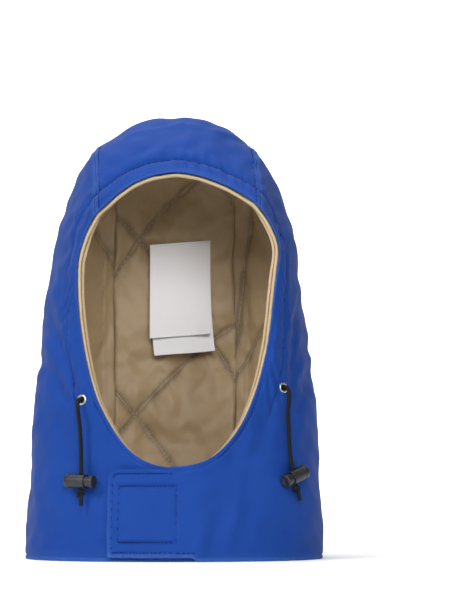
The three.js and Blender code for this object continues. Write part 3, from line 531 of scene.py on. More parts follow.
@dataclass(frozen=True)
class ClothRelief:
    """The small relief of the sewn cloth: channel, gathers, fine folds, seam puckers and soft unevenness."""

    form: HoodForm
    facing: float = 0.028
    channel_at_top: float = 0.0150
    channel_at_side: float = 0.0165
    channel_at_eyelet: float = 0.0205
    channel_end: tuple[float, float] = (1.78, 1.90)
    puff: float = 0.0013
    valley: float = 0.0015
    valley_breadth: float = 0.0017
    shoulder_place: float = 0.007
    shoulder_breadth: float = 0.005
    edge_row: float = 0.0037
    edge_valley: float = 0.0010
    edge_breadth: float = 0.0012
    gather: float = 0.0009
    gather_length: float = 0.0105
    gather_reach: float = 0.011
    seam_row: float = 0.0034
    seam_valley: float = 0.0005
    seam_breadth: float = 0.0011
    pucker: float = 0.00036
    pucker_length: float = 0.0088
    pucker_reach: float = 0.011
    unevenness: float = 0.0012
    unevenness_length: float = 0.070
    crease: float = 0.0005
    crease_length: float = 0.022

    def channel(self, around: Array) -> Array:
        """Give the distance of the channel's stitch line from the face edge: widest at the eyelets."""
        turn = np.abs(around)
        upper = mix(self.channel_at_top, self.channel_at_side, smooth(0.8, 1.2, turn))
        return mix(upper, self.channel_at_eyelet, smooth(1.45, 1.86, turn))

    def edge_run(self, around: Array) -> Array:
        """Read the distance travelled along the face edge at an around value."""
        places, edge = self.form.face_edge()
        return np.interp(around, places, travelled(edge, 0))

    def fine_folds(self, point: Array) -> Array:
        """Add up the hills of the front's fine folds, each by the distance from its line."""
        rise = np.zeros(point.shape[:-1])
        for row in FINE_FOLDS:
            fold = dict(zip(FINE_COLUMNS, row))
            start = np.array([fold["from_across"], fold["from_up"]])
            line = np.array([fold["to_across"], fold["to_up"]]) - start
            here = point[..., [0, 2]] - start
            share = here @ line / (line @ line)
            apart = np.linalg.norm(here - np.clip(share, 0, 1)[..., None] * line, axis=-1)
            breadth = fold["breadth"] * (0.8 + 0.4 * np.clip(1 - share, 0, 1))
            rise += fold["rise"] * hill(apart / breadth, 1.0)
        return rise * smooth(-0.045, 0.0, -point[..., 1])

    def at(self, point: Array, along: Array, around: Array) -> Array:
        """Work out the small relief at points of the outer face.

        The channel is half a sine wave between the face edge and its stitch line, with a narrow valley on
        that line. Gathers are waves across the channel that fade with the distance from its stitch line.
        Puckers are short waves along the panel seams.

        Args:
            point: Points of the smooth face.
            along: Their along values.
            around: Their around values.

        Returns:
            How far each point stands out.
        """
        from_edge = self.form.from_edge(point)
        turn = np.abs(around)
        channel = self.channel(around)
        held = 1 - smooth(*self.channel_end, turn)
        on_channel = np.sin(np.pi * np.clip(from_edge / channel, 0, 1)) ** 0.8
        past = from_edge - channel
        rise = held * (
            self.puff * on_channel
            - self.valley * hill(past, self.valley_breadth)
            + 0.6 * self.puff * hill(past - self.shoulder_place, self.shoulder_breadth)
        )
        rise = rise - (1 - held) * self.edge_valley * hill(from_edge - self.edge_row, self.edge_breadth)
        phase = 2 * np.pi * self.edge_run(around) / self.gather_length + 2.1 * waves(point, 0.05, 11)
        strength = 0.55 + 0.45 * waves(point, 0.045, 12)
        reach = np.where(past < 0, smooth(0, 0.011, from_edge), hill(past, self.gather_reach))
        rise = rise + self.gather * strength * reach * held * np.sin(phase)
        from_seam = np.abs(point[..., 0]) - self.form.seam_spacing / 2
        seam_phase = 2 * np.pi * (point[..., 2] - 0.6 * point[..., 1]) / self.pucker_length
        pucker = np.sin(seam_phase + 2.2 * waves(point, 0.03, 13)) * hill(from_seam, self.pucker_reach)
        row = self.seam_valley * hill(from_seam + self.seam_row, self.seam_breadth)
        rise = rise + np.where(turn < 1.5, self.pucker * pucker - row, 0)
        soft = self.unevenness * waves(point, self.unevenness_length, 14)
        soft = soft + self.crease * waves(point, self.crease_length, 15) + self.fine_folds(point)
        soft = soft * self.form.freedom(point, along) * smooth(0, 0.006, from_edge)
        return rise * smooth(0, 0.004, from_edge) + soft


@dataclass(frozen=True)
class Cloth:
    """The whole surface: the form, its folds, the chin's lap and the small relief."""

    form: HoodForm
    lap: ChinLap
    relief: ClothRelief

    def frame_at(self, along: Array, around: Array) -> tuple[Array, Array]:
        """Give points of the outer face with all of its relief, and the outward directions there.

        Args:
            along: Places from the face edge to the hem.
            around: Places from the back to the chin, of the same shape.

        Returns:
            Points and unit directions.
        """
        folded = self.form.folded(along, around)
        out = self.form.outward(self.form.folded, along, around)
        small = self.relief.at(self.form.base(along, around), along, around)
        small = small * (1 - smooth(0.975, 1, along))
        dip = self.lap.under_dip(folded, around)
        return folded + out * (small - dip)[..., None], out


@dataclass(frozen=True)
class Net:
    """A grid of places on the cloth, with a row for each step from the face edge to the hem."""

    along: Array
    around: Array

    @classmethod
    def laid(
        cls,
        cloth: Cloth,
        around: Array,
        body_rows: int,
        top_up: Array | None = None,
        hem_up: Array | float = 0.0,
    ) -> "Net":
        """Lay a net with close rows over the channel's facing and at the hem.

        The rows of the facing are evenly spaced between true distances from the face edge, those of the body
        are even steps of along, and the last ones close up towards the hem.

        Args:
            cloth: The surface that the net lies on.
            around: Around value of each column.
            body_rows: Rows between the facing and the hem.
            top_up: Height of the first row of each column where the cloth is cut level, or NaN.
            hem_up: Height of the last row.

        Returns:
            The net.
        """
        form, facing = cloth.form, cloth.relief.facing
        hem_up = np.broadcast_to(hem_up, around.shape)
        end = np.where(hem_up > 0, form.along_at_height(hem_up, around), 1.0)
        knots = np.array([0, 0.15, 0.35, 0.6, 0.85, 1, 1.2]) * facing
        at_knots = np.stack([form.along_from_edge(float(knot), around) for knot in knots[1:]])
        at_knots = np.concatenate([np.zeros((1, len(around))), at_knots])
        wanted = np.concatenate([[0, 0.0007, 0.0015], np.linspace(0.0024, knots[-1], 36)])
        row = np.clip(np.searchsorted(knots, wanted) - 1, 0, len(knots) - 2)
        share = ((wanted - knots[row]) / (knots[row + 1] - knots[row]))[:, None]
        top = mix(at_knots[row], at_knots[row + 1], share)
        near_hem = form.along_at_height(hem_up + 0.006, around)
        steps = np.linspace(0, 1, body_rows + 1)[1:, None]
        body = mix(top[-1], near_hem, steps)
        hem = mix(near_hem, end, np.array([0.2, 0.35, 0.45, 0.53, 0.6, 0.7, 0.8, 0.88, 0.95, 1])[:, None])
        along = np.concatenate([top, body, hem])
        if top_up is not None:
            cut = np.isfinite(top_up)
            start = form.along_at_height(np.where(cut, top_up, 0), around)
            along = np.where(cut, mix(start, end, along / end), along)
        return cls(along, np.broadcast_to(around, along.shape))


def quads_between(first: Array, second: Array) -> Array:
    """Give the quads between two rows of point numbers: first, next first, next second, second."""
    return np.stack([first[:-1], first[1:], second[1:], second[:-1]], axis=-1).reshape(-1, 4)


def grid_quads(index: Array) -> Array:
    """Give the quads of a grid of point numbers, facing the side where columns cross rows to the right."""
    corners = [index[:-1, :-1], index[:-1, 1:], index[1:, 1:], index[1:, :-1]]
    return np.stack(corners, axis=-1).reshape(-1, 4)


def ring_numbers(rings: int, sides: int) -> tuple[Array, Array]:
    """Number the points of rings, open, and closed by the first point of each once more."""
    index = np.arange(rings * sides).reshape(rings, sides)
    return index, np.concatenate([index, index[:, :1]], axis=1)


@dataclass
class Shape:
    """Points, faces and the cloth's own coordinates of one mesh."""

    points: Array
    faces: list[Array]
    flat: Array | None = None
    wear_and_shade: Array | None = None

    @classmethod
    def wall(cls, outer: Array, inner: Array, flat: Array, wear_and_shade: Array | None = None) -> "Shape":
        """Close an outer and an inner grid of points into one wall with four rims.

        Args:
            outer: Rows by columns of outer points.
            inner: The inner points behind them.
            flat: The cloth's coordinates of each outer point, in metres.
            wear_and_shade: How rubbed the cloth is at each point on the shell, and how much shade is painted
                into the lining beside its quilting.

        Returns:
            The shape of the wall.
        """
        rows, columns = outer.shape[:2]
        front, back = np.arange(2 * rows * columns).reshape(2, rows, columns)
        faces = [
            grid_quads(front),
            grid_quads(back)[:, ::-1],
            quads_between(front[:, 0], back[:, 0]),
            quads_between(back[:, -1], front[:, -1]),
            quads_between(back[0], front[0]),
            quads_between(front[-1], back[-1]),
        ]
        both = np.concatenate([outer.reshape(-1, 3), inner.reshape(-1, 3)])
        doubled = np.tile(flat.reshape(-1, 2), (2, 1))
        # On the lining these values are painted shade beside the quilting; on the shell they are wear.
        rubbed = None if wear_and_shade is None else np.tile(wear_and_shade.reshape(-1), 2)
        return cls(both, faces, doubled, rubbed)

    def cut_size(self) -> tuple[float, float]:
        """Give the width and length of the flat piece of cloth."""
        return tuple(float(side) for side in np.ptp(self.flat, axis=0))

    def outer_area(self) -> float:
        """Add up the areas of the outer face's quads: half the cross product of the diagonals of each."""
        corners = self.points[self.faces[0]]
        diagonals = np.cross(corners[:, 2] - corners[:, 0], corners[:, 3] - corners[:, 1])
        return float(np.linalg.norm(diagonals, axis=-1).sum() / 2)

    @classmethod
    def tube(
        cls, path: Array, radius: Array | float, sides: int, facing: Array, squash: float = 1.0
    ) -> "Shape":
        """Carry a round section along a path and close its two ends.

        Args:
            path: Middle points of the rings.
            radius: Radius of each ring.
            sides: Points in a ring.
            facing: Direction, or one for each ring, that the section's first point looks towards.
            squash: Breadth of the section as a share of its height towards facing.

        Returns:
            The shape, with its flat coordinates running round and along it.
        """
        forward = unit(np.gradient(path, axis=0))
        side = unit(np.cross(forward, np.broadcast_to(facing, path.shape)))
        top = np.cross(side, forward)
        turn = np.linspace(0, 2 * np.pi, sides, endpoint=False)
        size = np.broadcast_to(radius, len(path))[:, None, None]
        ring = top[:, None] * np.cos(turn)[:, None] + side[:, None] * np.sin(turn)[:, None] * squash
        rings = path[:, None] + ring * size
        index, around = ring_numbers(len(path), sides)
        run = travelled(path, 0)
        reach = np.broadcast_to(turn * float(np.mean(radius)), (len(path), sides))
        flat = np.stack([reach, np.broadcast_to(run[:, None], reach.shape)], axis=-1)
        faces = [grid_quads(around), index[:1, ::-1], index[-1:]]
        return cls(rings.reshape(-1, 3), faces, flat.reshape(-1, 2))

    @classmethod
    def turned(cls, profile: Sequence[tuple[float, float]], sides: int) -> "Shape":
        """Turn a profile of radius and height about Z, and close each end that isn't on the axis.

        Args:
            profile: Radius and height pairs, so ordered that the outside is on the right of the way they go.
            sides: Points in a ring.

        Returns:
            The turned shape.
        """
        radius, height = np.array(profile).T
        turn = np.linspace(0, 2 * np.pi, sides, endpoint=False)
        points = np.stack(
            [
                radius[:, None] * np.cos(turn),
                radius[:, None] * np.sin(turn),
                np.broadcast_to(height[:, None], (len(radius), sides)),
            ],
            axis=-1,
        )
        index, around = ring_numbers(len(radius), sides)
        closed = bool(np.allclose(profile[0], profile[-1]))
        if closed:
            around = np.concatenate([around[:-1], around[:1]])
            points = points[:-1]
        faces = [grid_quads(around)]
        if not closed:
            faces += [index[:1, ::-1], index[-1:]]
        return cls(points.reshape(-1, 3), faces)

    def moved(self, matrix: Matrix) -> "Shape":
        """Give the same shape, turned and moved by a matrix."""
        turn = np.array(matrix.to_3x3())
        return Shape(self.points @ turn.T + np.array(matrix.translation), self.faces, self.flat, self.wear_and_shade)

    def made(self, name: str, sharp_degrees: float = 50.0) -> bpy.types.Object:
        """Make the object: smooth shading with sharp rims, the flat coordinates as UV, and the wear and
        painted shade as an attribute.

        Args:
            name: Name of the object.
            sharp_degrees: Edges that turn more than this stay sharp.

        Returns:
            The new object, linked to the scene.
        """
        mesh = bpy.data.meshes.new(name)
        faces = [face for block in self.faces for face in block.tolist()]
        mesh.from_pydata(self.points.tolist(), [], faces)
        mesh.validate()
        mesh.polygons.foreach_set("use_smooth", np.ones(len(mesh.polygons), dtype=bool))
        mesh.set_sharp_from_angle(angle=math.radians(sharp_degrees))
        if self.flat is not None:
            corner = np.empty(len(mesh.loops), dtype=np.int32)
            mesh.loops.foreach_get("vertex_index", corner)
            layer = mesh.uv_layers.new(name="flat")
            layer.data.foreach_set("uv", self.flat[corner].astype(np.float32).ravel())
        if self.wear_and_shade is not None:
            attribute = mesh.attributes.new("wear_and_shade", "FLOAT", "POINT")
            attribute.data.foreach_set("value", self.wear_and_shade.astype(np.float32))
        piece = bpy.data.objects.new(name, mesh)
        bpy.context.scene.collection.objects.link(piece)
        return piece


def joined(shapes: Sequence[Shape]) -> Shape:
    """Join shapes without the wear_and_shade attribute into one, with their point numbers shifted."""
    starts = np.cumsum([0] + [len(shape.points) for shape in shapes[:-1]])
    faces = [block + start for shape, start in zip(shapes, starts) for block in shape.faces]
    flats = [shape.flat if shape.flat is not None else np.zeros((len(shape.points), 2)) for shape in shapes]
    return Shape(np.concatenate([shape.points for shape in shapes]), faces, np.concatenate(flats))


def carved(piece: bpy.types.Object, tools: Sequence[bpy.types.Object]) -> bpy.types.Object:
    """Cut tools out of a piece, keep the result as its mesh and remove the tools."""
    for tool in tools:
        modifier = piece.modifiers.new("cut", "BOOLEAN")
        modifier.operation = "DIFFERENCE"
        modifier.solver = "EXACT"
        modifier.object = tool
    bpy.context.view_layer.update()
    done = piece.evaluated_get(bpy.context.evaluated_depsgraph_get())
    mesh = bpy.data.meshes.new_from_object(done)
    piece.modifiers.clear()
    piece.data = mesh
    for tool in tools:
        bpy.data.objects.remove(tool)
    return piece


def basis(position: Array, x_axis: Array, y_axis: Array, z_axis: Array) -> Matrix:
    """Make the matrix that puts three axes at a position."""
    matrix = Matrix(np.stack([x_axis, y_axis, z_axis], axis=1).tolist()).to_4x4()
    matrix.translation = Vector(position.tolist())
    return matrix


def facing_basis(position: Array, z_axis: Array, hint: Array) -> Matrix:
    """Make the matrix whose Z axis looks one way and whose X axis is square to a hint."""
    z_axis = unit(z_axis)
    x_axis = unit(np.cross(hint, z_axis))
    return basis(position, x_axis, np.cross(z_axis, x_axis), z_axis)


class Signal:
    """One output of a shader node, with arithmetic that adds Math nodes."""

    def __init__(self, bench: "Bench", socket: bpy.types.NodeSocket) -> None:
        """Keep the bench that the signal belongs to and its socket."""
        self.bench = bench
        self.socket = socket

    def math(self, operation: str, *others: "Signal | float", flip: bool = False) -> "Signal":
        """Add a Math node on this signal and others, in the other order where flip says so."""
        values = list(others) + [self] if flip else [self, *others]
        return self.bench.node("ShaderNodeMath", {"operation": operation}, dict(enumerate(values)))

    def __add__(self, other: "Signal | float") -> "Signal":
        """Add."""
        return self.math("ADD", other)

    def __radd__(self, other: float) -> "Signal":
        """Add to a number."""
        return self.math("ADD", other)

    def __sub__(self, other: "Signal | float") -> "Signal":
        """Subtract."""
        return self.math("SUBTRACT", other)

    def __rsub__(self, other: float) -> "Signal":
        """Subtract from a number."""
        return self.math("SUBTRACT", other, flip=True)

    def __mul__(self, other: "Signal | float") -> "Signal":
        """Multiply."""
        return self.math("MULTIPLY", other)

    def __rmul__(self, other: float) -> "Signal":
        """Multiply a number."""
        return self.math("MULTIPLY", other)

    def __truediv__(self, other: "Signal | float") -> "Signal":
        """Divide."""
        return self.math("DIVIDE", other)

    def __pow__(self, other: float) -> "Signal":
        """Raise to a power."""
        return self.math("POWER", other)

    def sine(self) -> "Signal":
        """Take the sine."""
        return self.math("SINE")

    def size(self) -> "Signal":
        """Take the absolute value."""
        return self.math("ABSOLUTE")

    def clamped(self) -> "Signal":
        """Keep the value between 0 and 1."""
        return self.bench.node("ShaderNodeClamp", {}, {"Value": self})


class Bench:
    """A material under construction."""

    def __init__(self, name: str) -> None:
        """Start an empty material."""
        self.material = bpy.data.materials.new(name)
        self.material.use_nodes = True
        self.tree = self.material.node_tree
        self.tree.nodes.clear()

    def node(
        self,
        kind: str,
        settings: dict[str, object] | None = None,
        inputs: dict[str | int, object] | None = None,
        output: str | int = 0,
    ) -> Signal:
        """Add one node.

        Args:
            kind: The node's type.
            settings: Properties that are set first, where "stops" are a colour ramp's places and colours.
            inputs: Values of its sockets, or signals that are linked to them.
            output: The output that is wanted.

        Returns:
            That output as a signal.
        """
        made = self.tree.nodes.new(kind)
        for key, value in (settings or {}).items():
            if key == "stops":
                self._set_stops(made, value)
            else:
                setattr(made, key, value)
        for key, value in (inputs or {}).items():
            if isinstance(value, Signal):
                self.tree.links.new(value.socket, made.inputs[key])
            else:
                made.inputs[key].default_value = value
        return Signal(self, made.outputs[output])

    @staticmethod
    def _set_stops(ramp: bpy.types.Node, stops: Sequence[tuple[float, Sequence[float]]]) -> None:
        """Set a colour ramp's stops."""
        elements = ramp.color_ramp.elements
        while len(elements) < len(stops):
            elements.new(1.0)
        for element, (place, colour) in zip(elements, stops):
            element.position = place
            element.color = colour

    def place(self) -> Signal:
        """Give the place on the object, in metres."""
        return self.node("ShaderNodeTexCoord", output="Object")

    def flat(self) -> tuple[Signal, Signal, Signal]:
        """Give the cloth's own coordinates in metres: the vector, then across, then along."""
        vector = self.node("ShaderNodeUVMap", {"uv_map": "flat"})
        across = self.node("ShaderNodeSeparateXYZ", {}, {0: vector}, output="X")
        along = self.node("ShaderNodeSeparateXYZ", {}, {0: vector}, output="Y")
        return vector, across, along

    def noise(self, vector: Signal, scale: float, detail: float = 2.0, roughness: float = 0.5) -> Signal:
        """Give noise from 0 to 1 with scale in waves to the metre."""
        inputs = {"Vector": vector, "Scale": scale, "Detail": detail, "Roughness": roughness}
        return self.node("ShaderNodeTexNoise", {}, inputs)

    def wear_and_shade(self) -> Signal:
        """Give the wear_and_shade attribute from 0 to 1: how rubbed the shell is, and how much shade is
        painted into the lining's creases.
        """
        return self.node("ShaderNodeAttribute", {"attribute_name": "wear_and_shade"}, output="Fac")

    def blend(self, share: "Signal | float", low: object, high: object) -> Signal:
        """Mix two colours."""
        return self.node("ShaderNodeMix", {"data_type": "RGBA"}, {0: share, 6: low, 7: high}, output=2)

    def relief(self, height: Signal, distance: float, strength: float = 1.0) -> Signal:
        """Turn a height from 0 to 1 into a normal, for a relief of a depth in metres."""
        return self.node("ShaderNodeBump", {}, {"Height": height, "Distance": distance, "Strength": strength})

    def finish(self, inputs: dict[str, object]) -> bpy.types.Material:
        """Add the surface shader and give the finished material."""
        shader = self.node("ShaderNodeBsdfPrincipled", {}, inputs)
        output = self.tree.nodes.new("ShaderNodeOutputMaterial")
        self.tree.links.new(shader.socket, output.inputs["Surface"])
        return self.material


Colour = tuple[float, float, float, float]


@dataclass(frozen=True)
class TwillFinish:
    """Woven twill: slanting ribs of yarn with a little unevenness, paler where it is rubbed."""

    name: str
    colour: Colour
    shade: Colour
    rubbed: Colour
    rib: float = 0.00105
    lean_degrees: float = 63.0
    roughness: float = 0.78

    def material(self) -> bpy.types.Material:
        """Make the material."""
        bench = Bench(self.name)
        vector, across, along = bench.flat()
        place = bench.place()
        lean = math.radians(self.lean_degrees)
        wander = bench.noise(place, 60.0) * 0.5
        ribs = ((across * math.cos(lean) + along * math.sin(lean)) * (2 * math.pi / self.rib) + wander).sine()
        warp = (across * (2 * math.pi / (0.62 * self.rib))).sine()
        yarns = warp * (along * (2 * math.pi / (0.8 * self.rib))).sine()
        slub = bench.noise(vector, 900.0, 3.0)
        patches = bench.noise(place, 14.0, 3.0, 0.55)
        weave = ribs * 0.34 + yarns * 0.14 + 0.5
        share = (weave * 0.45 + patches * 0.4 + slub * 0.3 - 0.12).clamped()
        cloth = bench.blend(share, self.shade, self.colour)
        wear_and_shade_mask = (bench.wear_and_shade() * (bench.noise(place, 320.0, 3.0) * 1.1 + weave * 0.5)).clamped()
        height = (weave * 0.8 + slub * 0.4).clamped()
        return bench.finish({
            "Base Color": bench.blend(wear_and_shade_mask * 0.55, cloth, self.rubbed),
            "Roughness": self.roughness + wear_and_shade_mask * 0.1 - weave * 0.06,
            "Specular IOR Level": 0.2,
            "Sheen Weight": 0.05,
            "Sheen Roughness": 0.45,
            "Normal": bench.relief(height, 0.00022, 0.75),
        })


@dataclass(frozen=True)
class SatinFinish:
    """Smooth lining satin: fine threads, a soft gloss, faint lengthwise streaks, and painted shade in the
    creases beside the quilting.
    """

    name: str
    colour: Colour
    shade: Colour
    thread: float = 0.00042
    roughness: float = 0.46
    sheen: float = 0.25
    # How far the colour goes towards the painted crease shade where the attribute is 1.
    crease: float = 0.6

    def material(self) -> bpy.types.Material:
        """Make the material."""
        bench = Bench(self.name)
        vector, across, _ = bench.flat()
        # Painted shade: the creases beside the quilting are darkened towards 0.35 times the shade colour, by
        # the mesh attribute.
        painted_crease_shade = tuple(0.35 * part for part in self.shade[:3]) + (1,)
        place = bench.place()
        stretch = bench.node("ShaderNodeMapping", {}, {"Vector": vector, "Scale": (2200.0, 160.0, 1.0)})
        streaks = bench.noise(stretch, 1.0, 2.0)
        patches = bench.noise(place, 18.0, 2.0)
        threads = (across * (2 * math.pi / self.thread)).sine() * 0.3 + 0.5
        share = (streaks * 0.5 + patches * 0.5 + threads * 0.2 - 0.1).clamped()
        height = (streaks * 0.7 + threads * 0.4).clamped()
        satin = bench.blend(share, self.shade, self.colour)
        return bench.finish({
            "Base Color": bench.blend(bench.wear_and_shade() * self.crease, satin, painted_crease_shade),
            "Roughness": self.roughness + (1 - streaks) * 0.14,
            "Specular IOR Level": 0.42,
            "Sheen Weight": self.sheen,
            "Sheen Roughness": 0.35,
            "Normal": bench.relief(height, 0.00009, 0.6),
        })


@dataclass(frozen=True)
class ThreadFinish:
    """Twisted sewing thread."""

    name: str
    colour: Colour
    shade: Colour
    twist: float = 0.0007

    def material(self) -> bpy.types.Material:
        """Make the material."""
        bench = Bench(self.name)
        _, across, along = bench.flat()
        plies = ((across * 1.6 + along) * (2 * math.pi / self.twist)).sine() * 0.5 + 0.5
        return bench.finish({
            "Base Color": bench.blend(plies, self.shade, self.colour),
            "Roughness": 0.6 + plies * 0.1,
            "Specular IOR Level": 0.15,
            "Normal": bench.relief(plies, 0.0001, 0.8),
        })


@dataclass(frozen=True)
class BraidFinish:
    """Round braided elastic: two crossing sets of plaits."""

    name: str
    colour: Colour
    shade: Colour
    plait: float = 0.0021
    diameter: float = 0.0034

    def material(self) -> bpy.types.Material:
        """Make the material: plaits are two slanting sines, and the higher of them lies on top."""
        bench = Bench(self.name)
        vector, across, along = bench.flat()
        turns = across * (2 * 6 / self.diameter)
        climb = along * (2 * math.pi / self.plait)
        crossing = (turns + climb).sine().math("MAXIMUM", (turns - climb).sine()) * 0.5 + 0.5
        fuzz = bench.noise(vector, 2600.0, 2.0)
        share = (crossing * 0.8 + fuzz * 0.3 - 0.1).clamped()
        return bench.finish({
            "Base Color": bench.blend(share, self.shade, self.colour),
            "Roughness": 0.82 - crossing * 0.12,
            "Specular IOR Level": 0.2,
            "Normal": bench.relief((crossing * 0.85 + fuzz * 0.15), 0.0004, 0.9),
        })


@dataclass(frozen=True)
class MetalFinish:
    """Plated metal with fine scratches and dulled patches."""

    name: str
    colour: Colour
    dulled: Colour
    roughness: float = 0.22

    def material(self) -> bpy.types.Material:
        """Make the material."""
        bench = Bench(self.name)
        place = bench.place()
        dull = bench.noise(place, 420.0, 4.0, 0.6)
        stretch = bench.node("ShaderNodeMapping", {}, {"Vector": place, "Scale": (1.0, 1.0, 0.12)})
        fine = bench.noise(stretch, 5200.0)
        return bench.finish({
            "Base Color": bench.blend(dull, self.dulled, self.colour),
            "Metallic": 1.0,
            "Roughness": self.roughness + dull * 0.16 + fine * 0.08,
            "Normal": bench.relief(fine, 0.00003, 0.5),
        })


@dataclass(frozen=True)
class MouldedFinish:
    """Moulded plastic with a fine grain, and dull handling marks."""

    name: str
    colour: Colour
    rubbed: Colour

    def material(self) -> bpy.types.Material:
        """Make the material."""
        bench = Bench(self.name)
        place = bench.place()
        grain = bench.noise(place, 3400.0, 2.0)
        marks = (bench.noise(place, 260.0, 4.0, 0.62) * 2.2 - 0.9).clamped()
        return bench.finish({
            "Base Color": bench.blend(marks * 0.5, self.colour, self.rubbed),
            "Roughness": 0.36 + marks * 0.2 + grain * 0.06,
            "Specular IOR Level": 0.5,
            "Normal": bench.relief(grain, 0.00006, 0.5),
        })


@dataclass(frozen=True)
class LoopPileFinish:
    """The short loop pile of a touch fastener."""

    name: str
    colour: Colour
    shade: Colour

    def material(self) -> bpy.types.Material:
        """Make the material."""
        bench = Bench(self.name)
        loops = bench.node(
            "ShaderNodeTexVoronoi", {}, {"Vector": bench.place(), "Scale": 1500.0}, output="Distance"
        )
        return bench.finish({
            "Base Color": bench.blend(loops.clamped(), self.colour, self.shade),
            "Roughness": 0.9 - loops * 0.05,
            "Sheen Weight": 0.4,
            "Normal": bench.relief(loops.clamped(), 0.0005, 1.0),
        })


@dataclass(frozen=True)
class StudioFinish:
    """A pale, matt studio ground with a barely seen unevenness, and a glow that grows towards the back."""

    name: str
    colour: Colour
    shade: Colour
    near: Colour = (0.05, 0.05, 0.05, 1)
    far: Colour = (0.95, 0.95, 0.95, 1)
    near_end: float = 0.25
    rise: float = 1.0

    def material(self) -> bpy.types.Material:
        """Make the material."""
        bench = Bench(self.name)
        back = bench.node("ShaderNodeSeparateXYZ", {}, {"Vector": bench.place()}, output="Y")
        share = ((back - self.near_end) / self.rise).clamped()
        return bench.finish({
            "Base Color": bench.blend(bench.noise(bench.place(), 3.0, 2.0), self.shade, self.colour),
            "Roughness": 0.85,
            "Specular IOR Level": 0.1,
            "Emission Color": bench.blend(share, self.near, self.far),
            "Emission Strength": 1.0,
        })


SHELL_TWILL = TwillFinish(
    "shell twill", colour=(0.0035, 0.052, 0.300, 1), shade=(0.002, 0.030, 0.185, 1),
    rubbed=(0.05, 0.13, 0.42, 1),
)
LINING_SATIN = SatinFinish("lining satin", colour=(0.48, 0.355, 0.21, 1), shade=(0.32, 0.232, 0.128, 1))
BINDING_SATIN = SatinFinish(
    "binding satin", colour=(0.50, 0.385, 0.235, 1), shade=(0.36, 0.265, 0.15, 1), thread=0.0006,
    roughness=0.6, sheen=0.1,
)
LABEL_SATIN = SatinFinish(
    "label satin", colour=(0.92, 0.92, 0.94, 1), shade=(0.82, 0.82, 0.85, 1), thread=0.0004, roughness=0.5,
    sheen=0.1,
)
SHELL_THREAD = ThreadFinish("shell thread", colour=(0.004, 0.016, 0.11, 1), shade=(0.002, 0.007, 0.045, 1))
QUILT_THREAD = ThreadFinish("quilting thread", colour=(0.66, 0.54, 0.37, 1), shade=(0.38, 0.29, 0.18, 1))
LABEL_THREAD = ThreadFinish("label thread", colour=(0.80, 0.80, 0.80, 1), shade=(0.50, 0.50, 0.50, 1))
CORD_BRAID = BraidFinish("cord braid", colour=(0.010, 0.011, 0.014, 1), shade=(0.003, 0.003, 0.004, 1))
NICKEL_PLATE = MetalFinish("nickel plate", colour=(0.72, 0.72, 0.71, 1), dulled=(0.50, 0.50, 0.49, 1))
LOCK_MOULDING = MouldedFinish(
    "lock moulding", colour=(0.010, 0.011, 0.014, 1), rubbed=(0.040, 0.043, 0.050, 1)
)
FASTENER_PILE = LoopPileFinish("fastener pile", colour=(0.03, 0.06, 0.18, 1), shade=(0.008, 0.016, 0.06, 1))
STUDIO_GROUND = StudioFinish("studio ground", colour=(0.93, 0.93, 0.93, 1), shade=(0.90, 0.90, 0.90, 1))


def dressed(
    piece: bpy.types.Object, material: bpy.types.Material, slot: Slot, *nodes: str
) -> bpy.types.Object:
    """Give a piece its material and its body, and hide the nodes that it replaces.

    Args:
        piece: The finished piece.
        material: Its material.
        slot: The record's slot of its finish. Not used.
        nodes: Names of the nodes that it replaces.

    Returns:
        The piece.
    """
    piece.data.materials.clear()
    piece.data.materials.append(material)
    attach(piece, "hood")
    if nodes:
        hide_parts(*nodes)
    log.info("%s: %d points, %d faces", piece.name, len(piece.data.vertices), len(piece.data.polygons))
    return piece


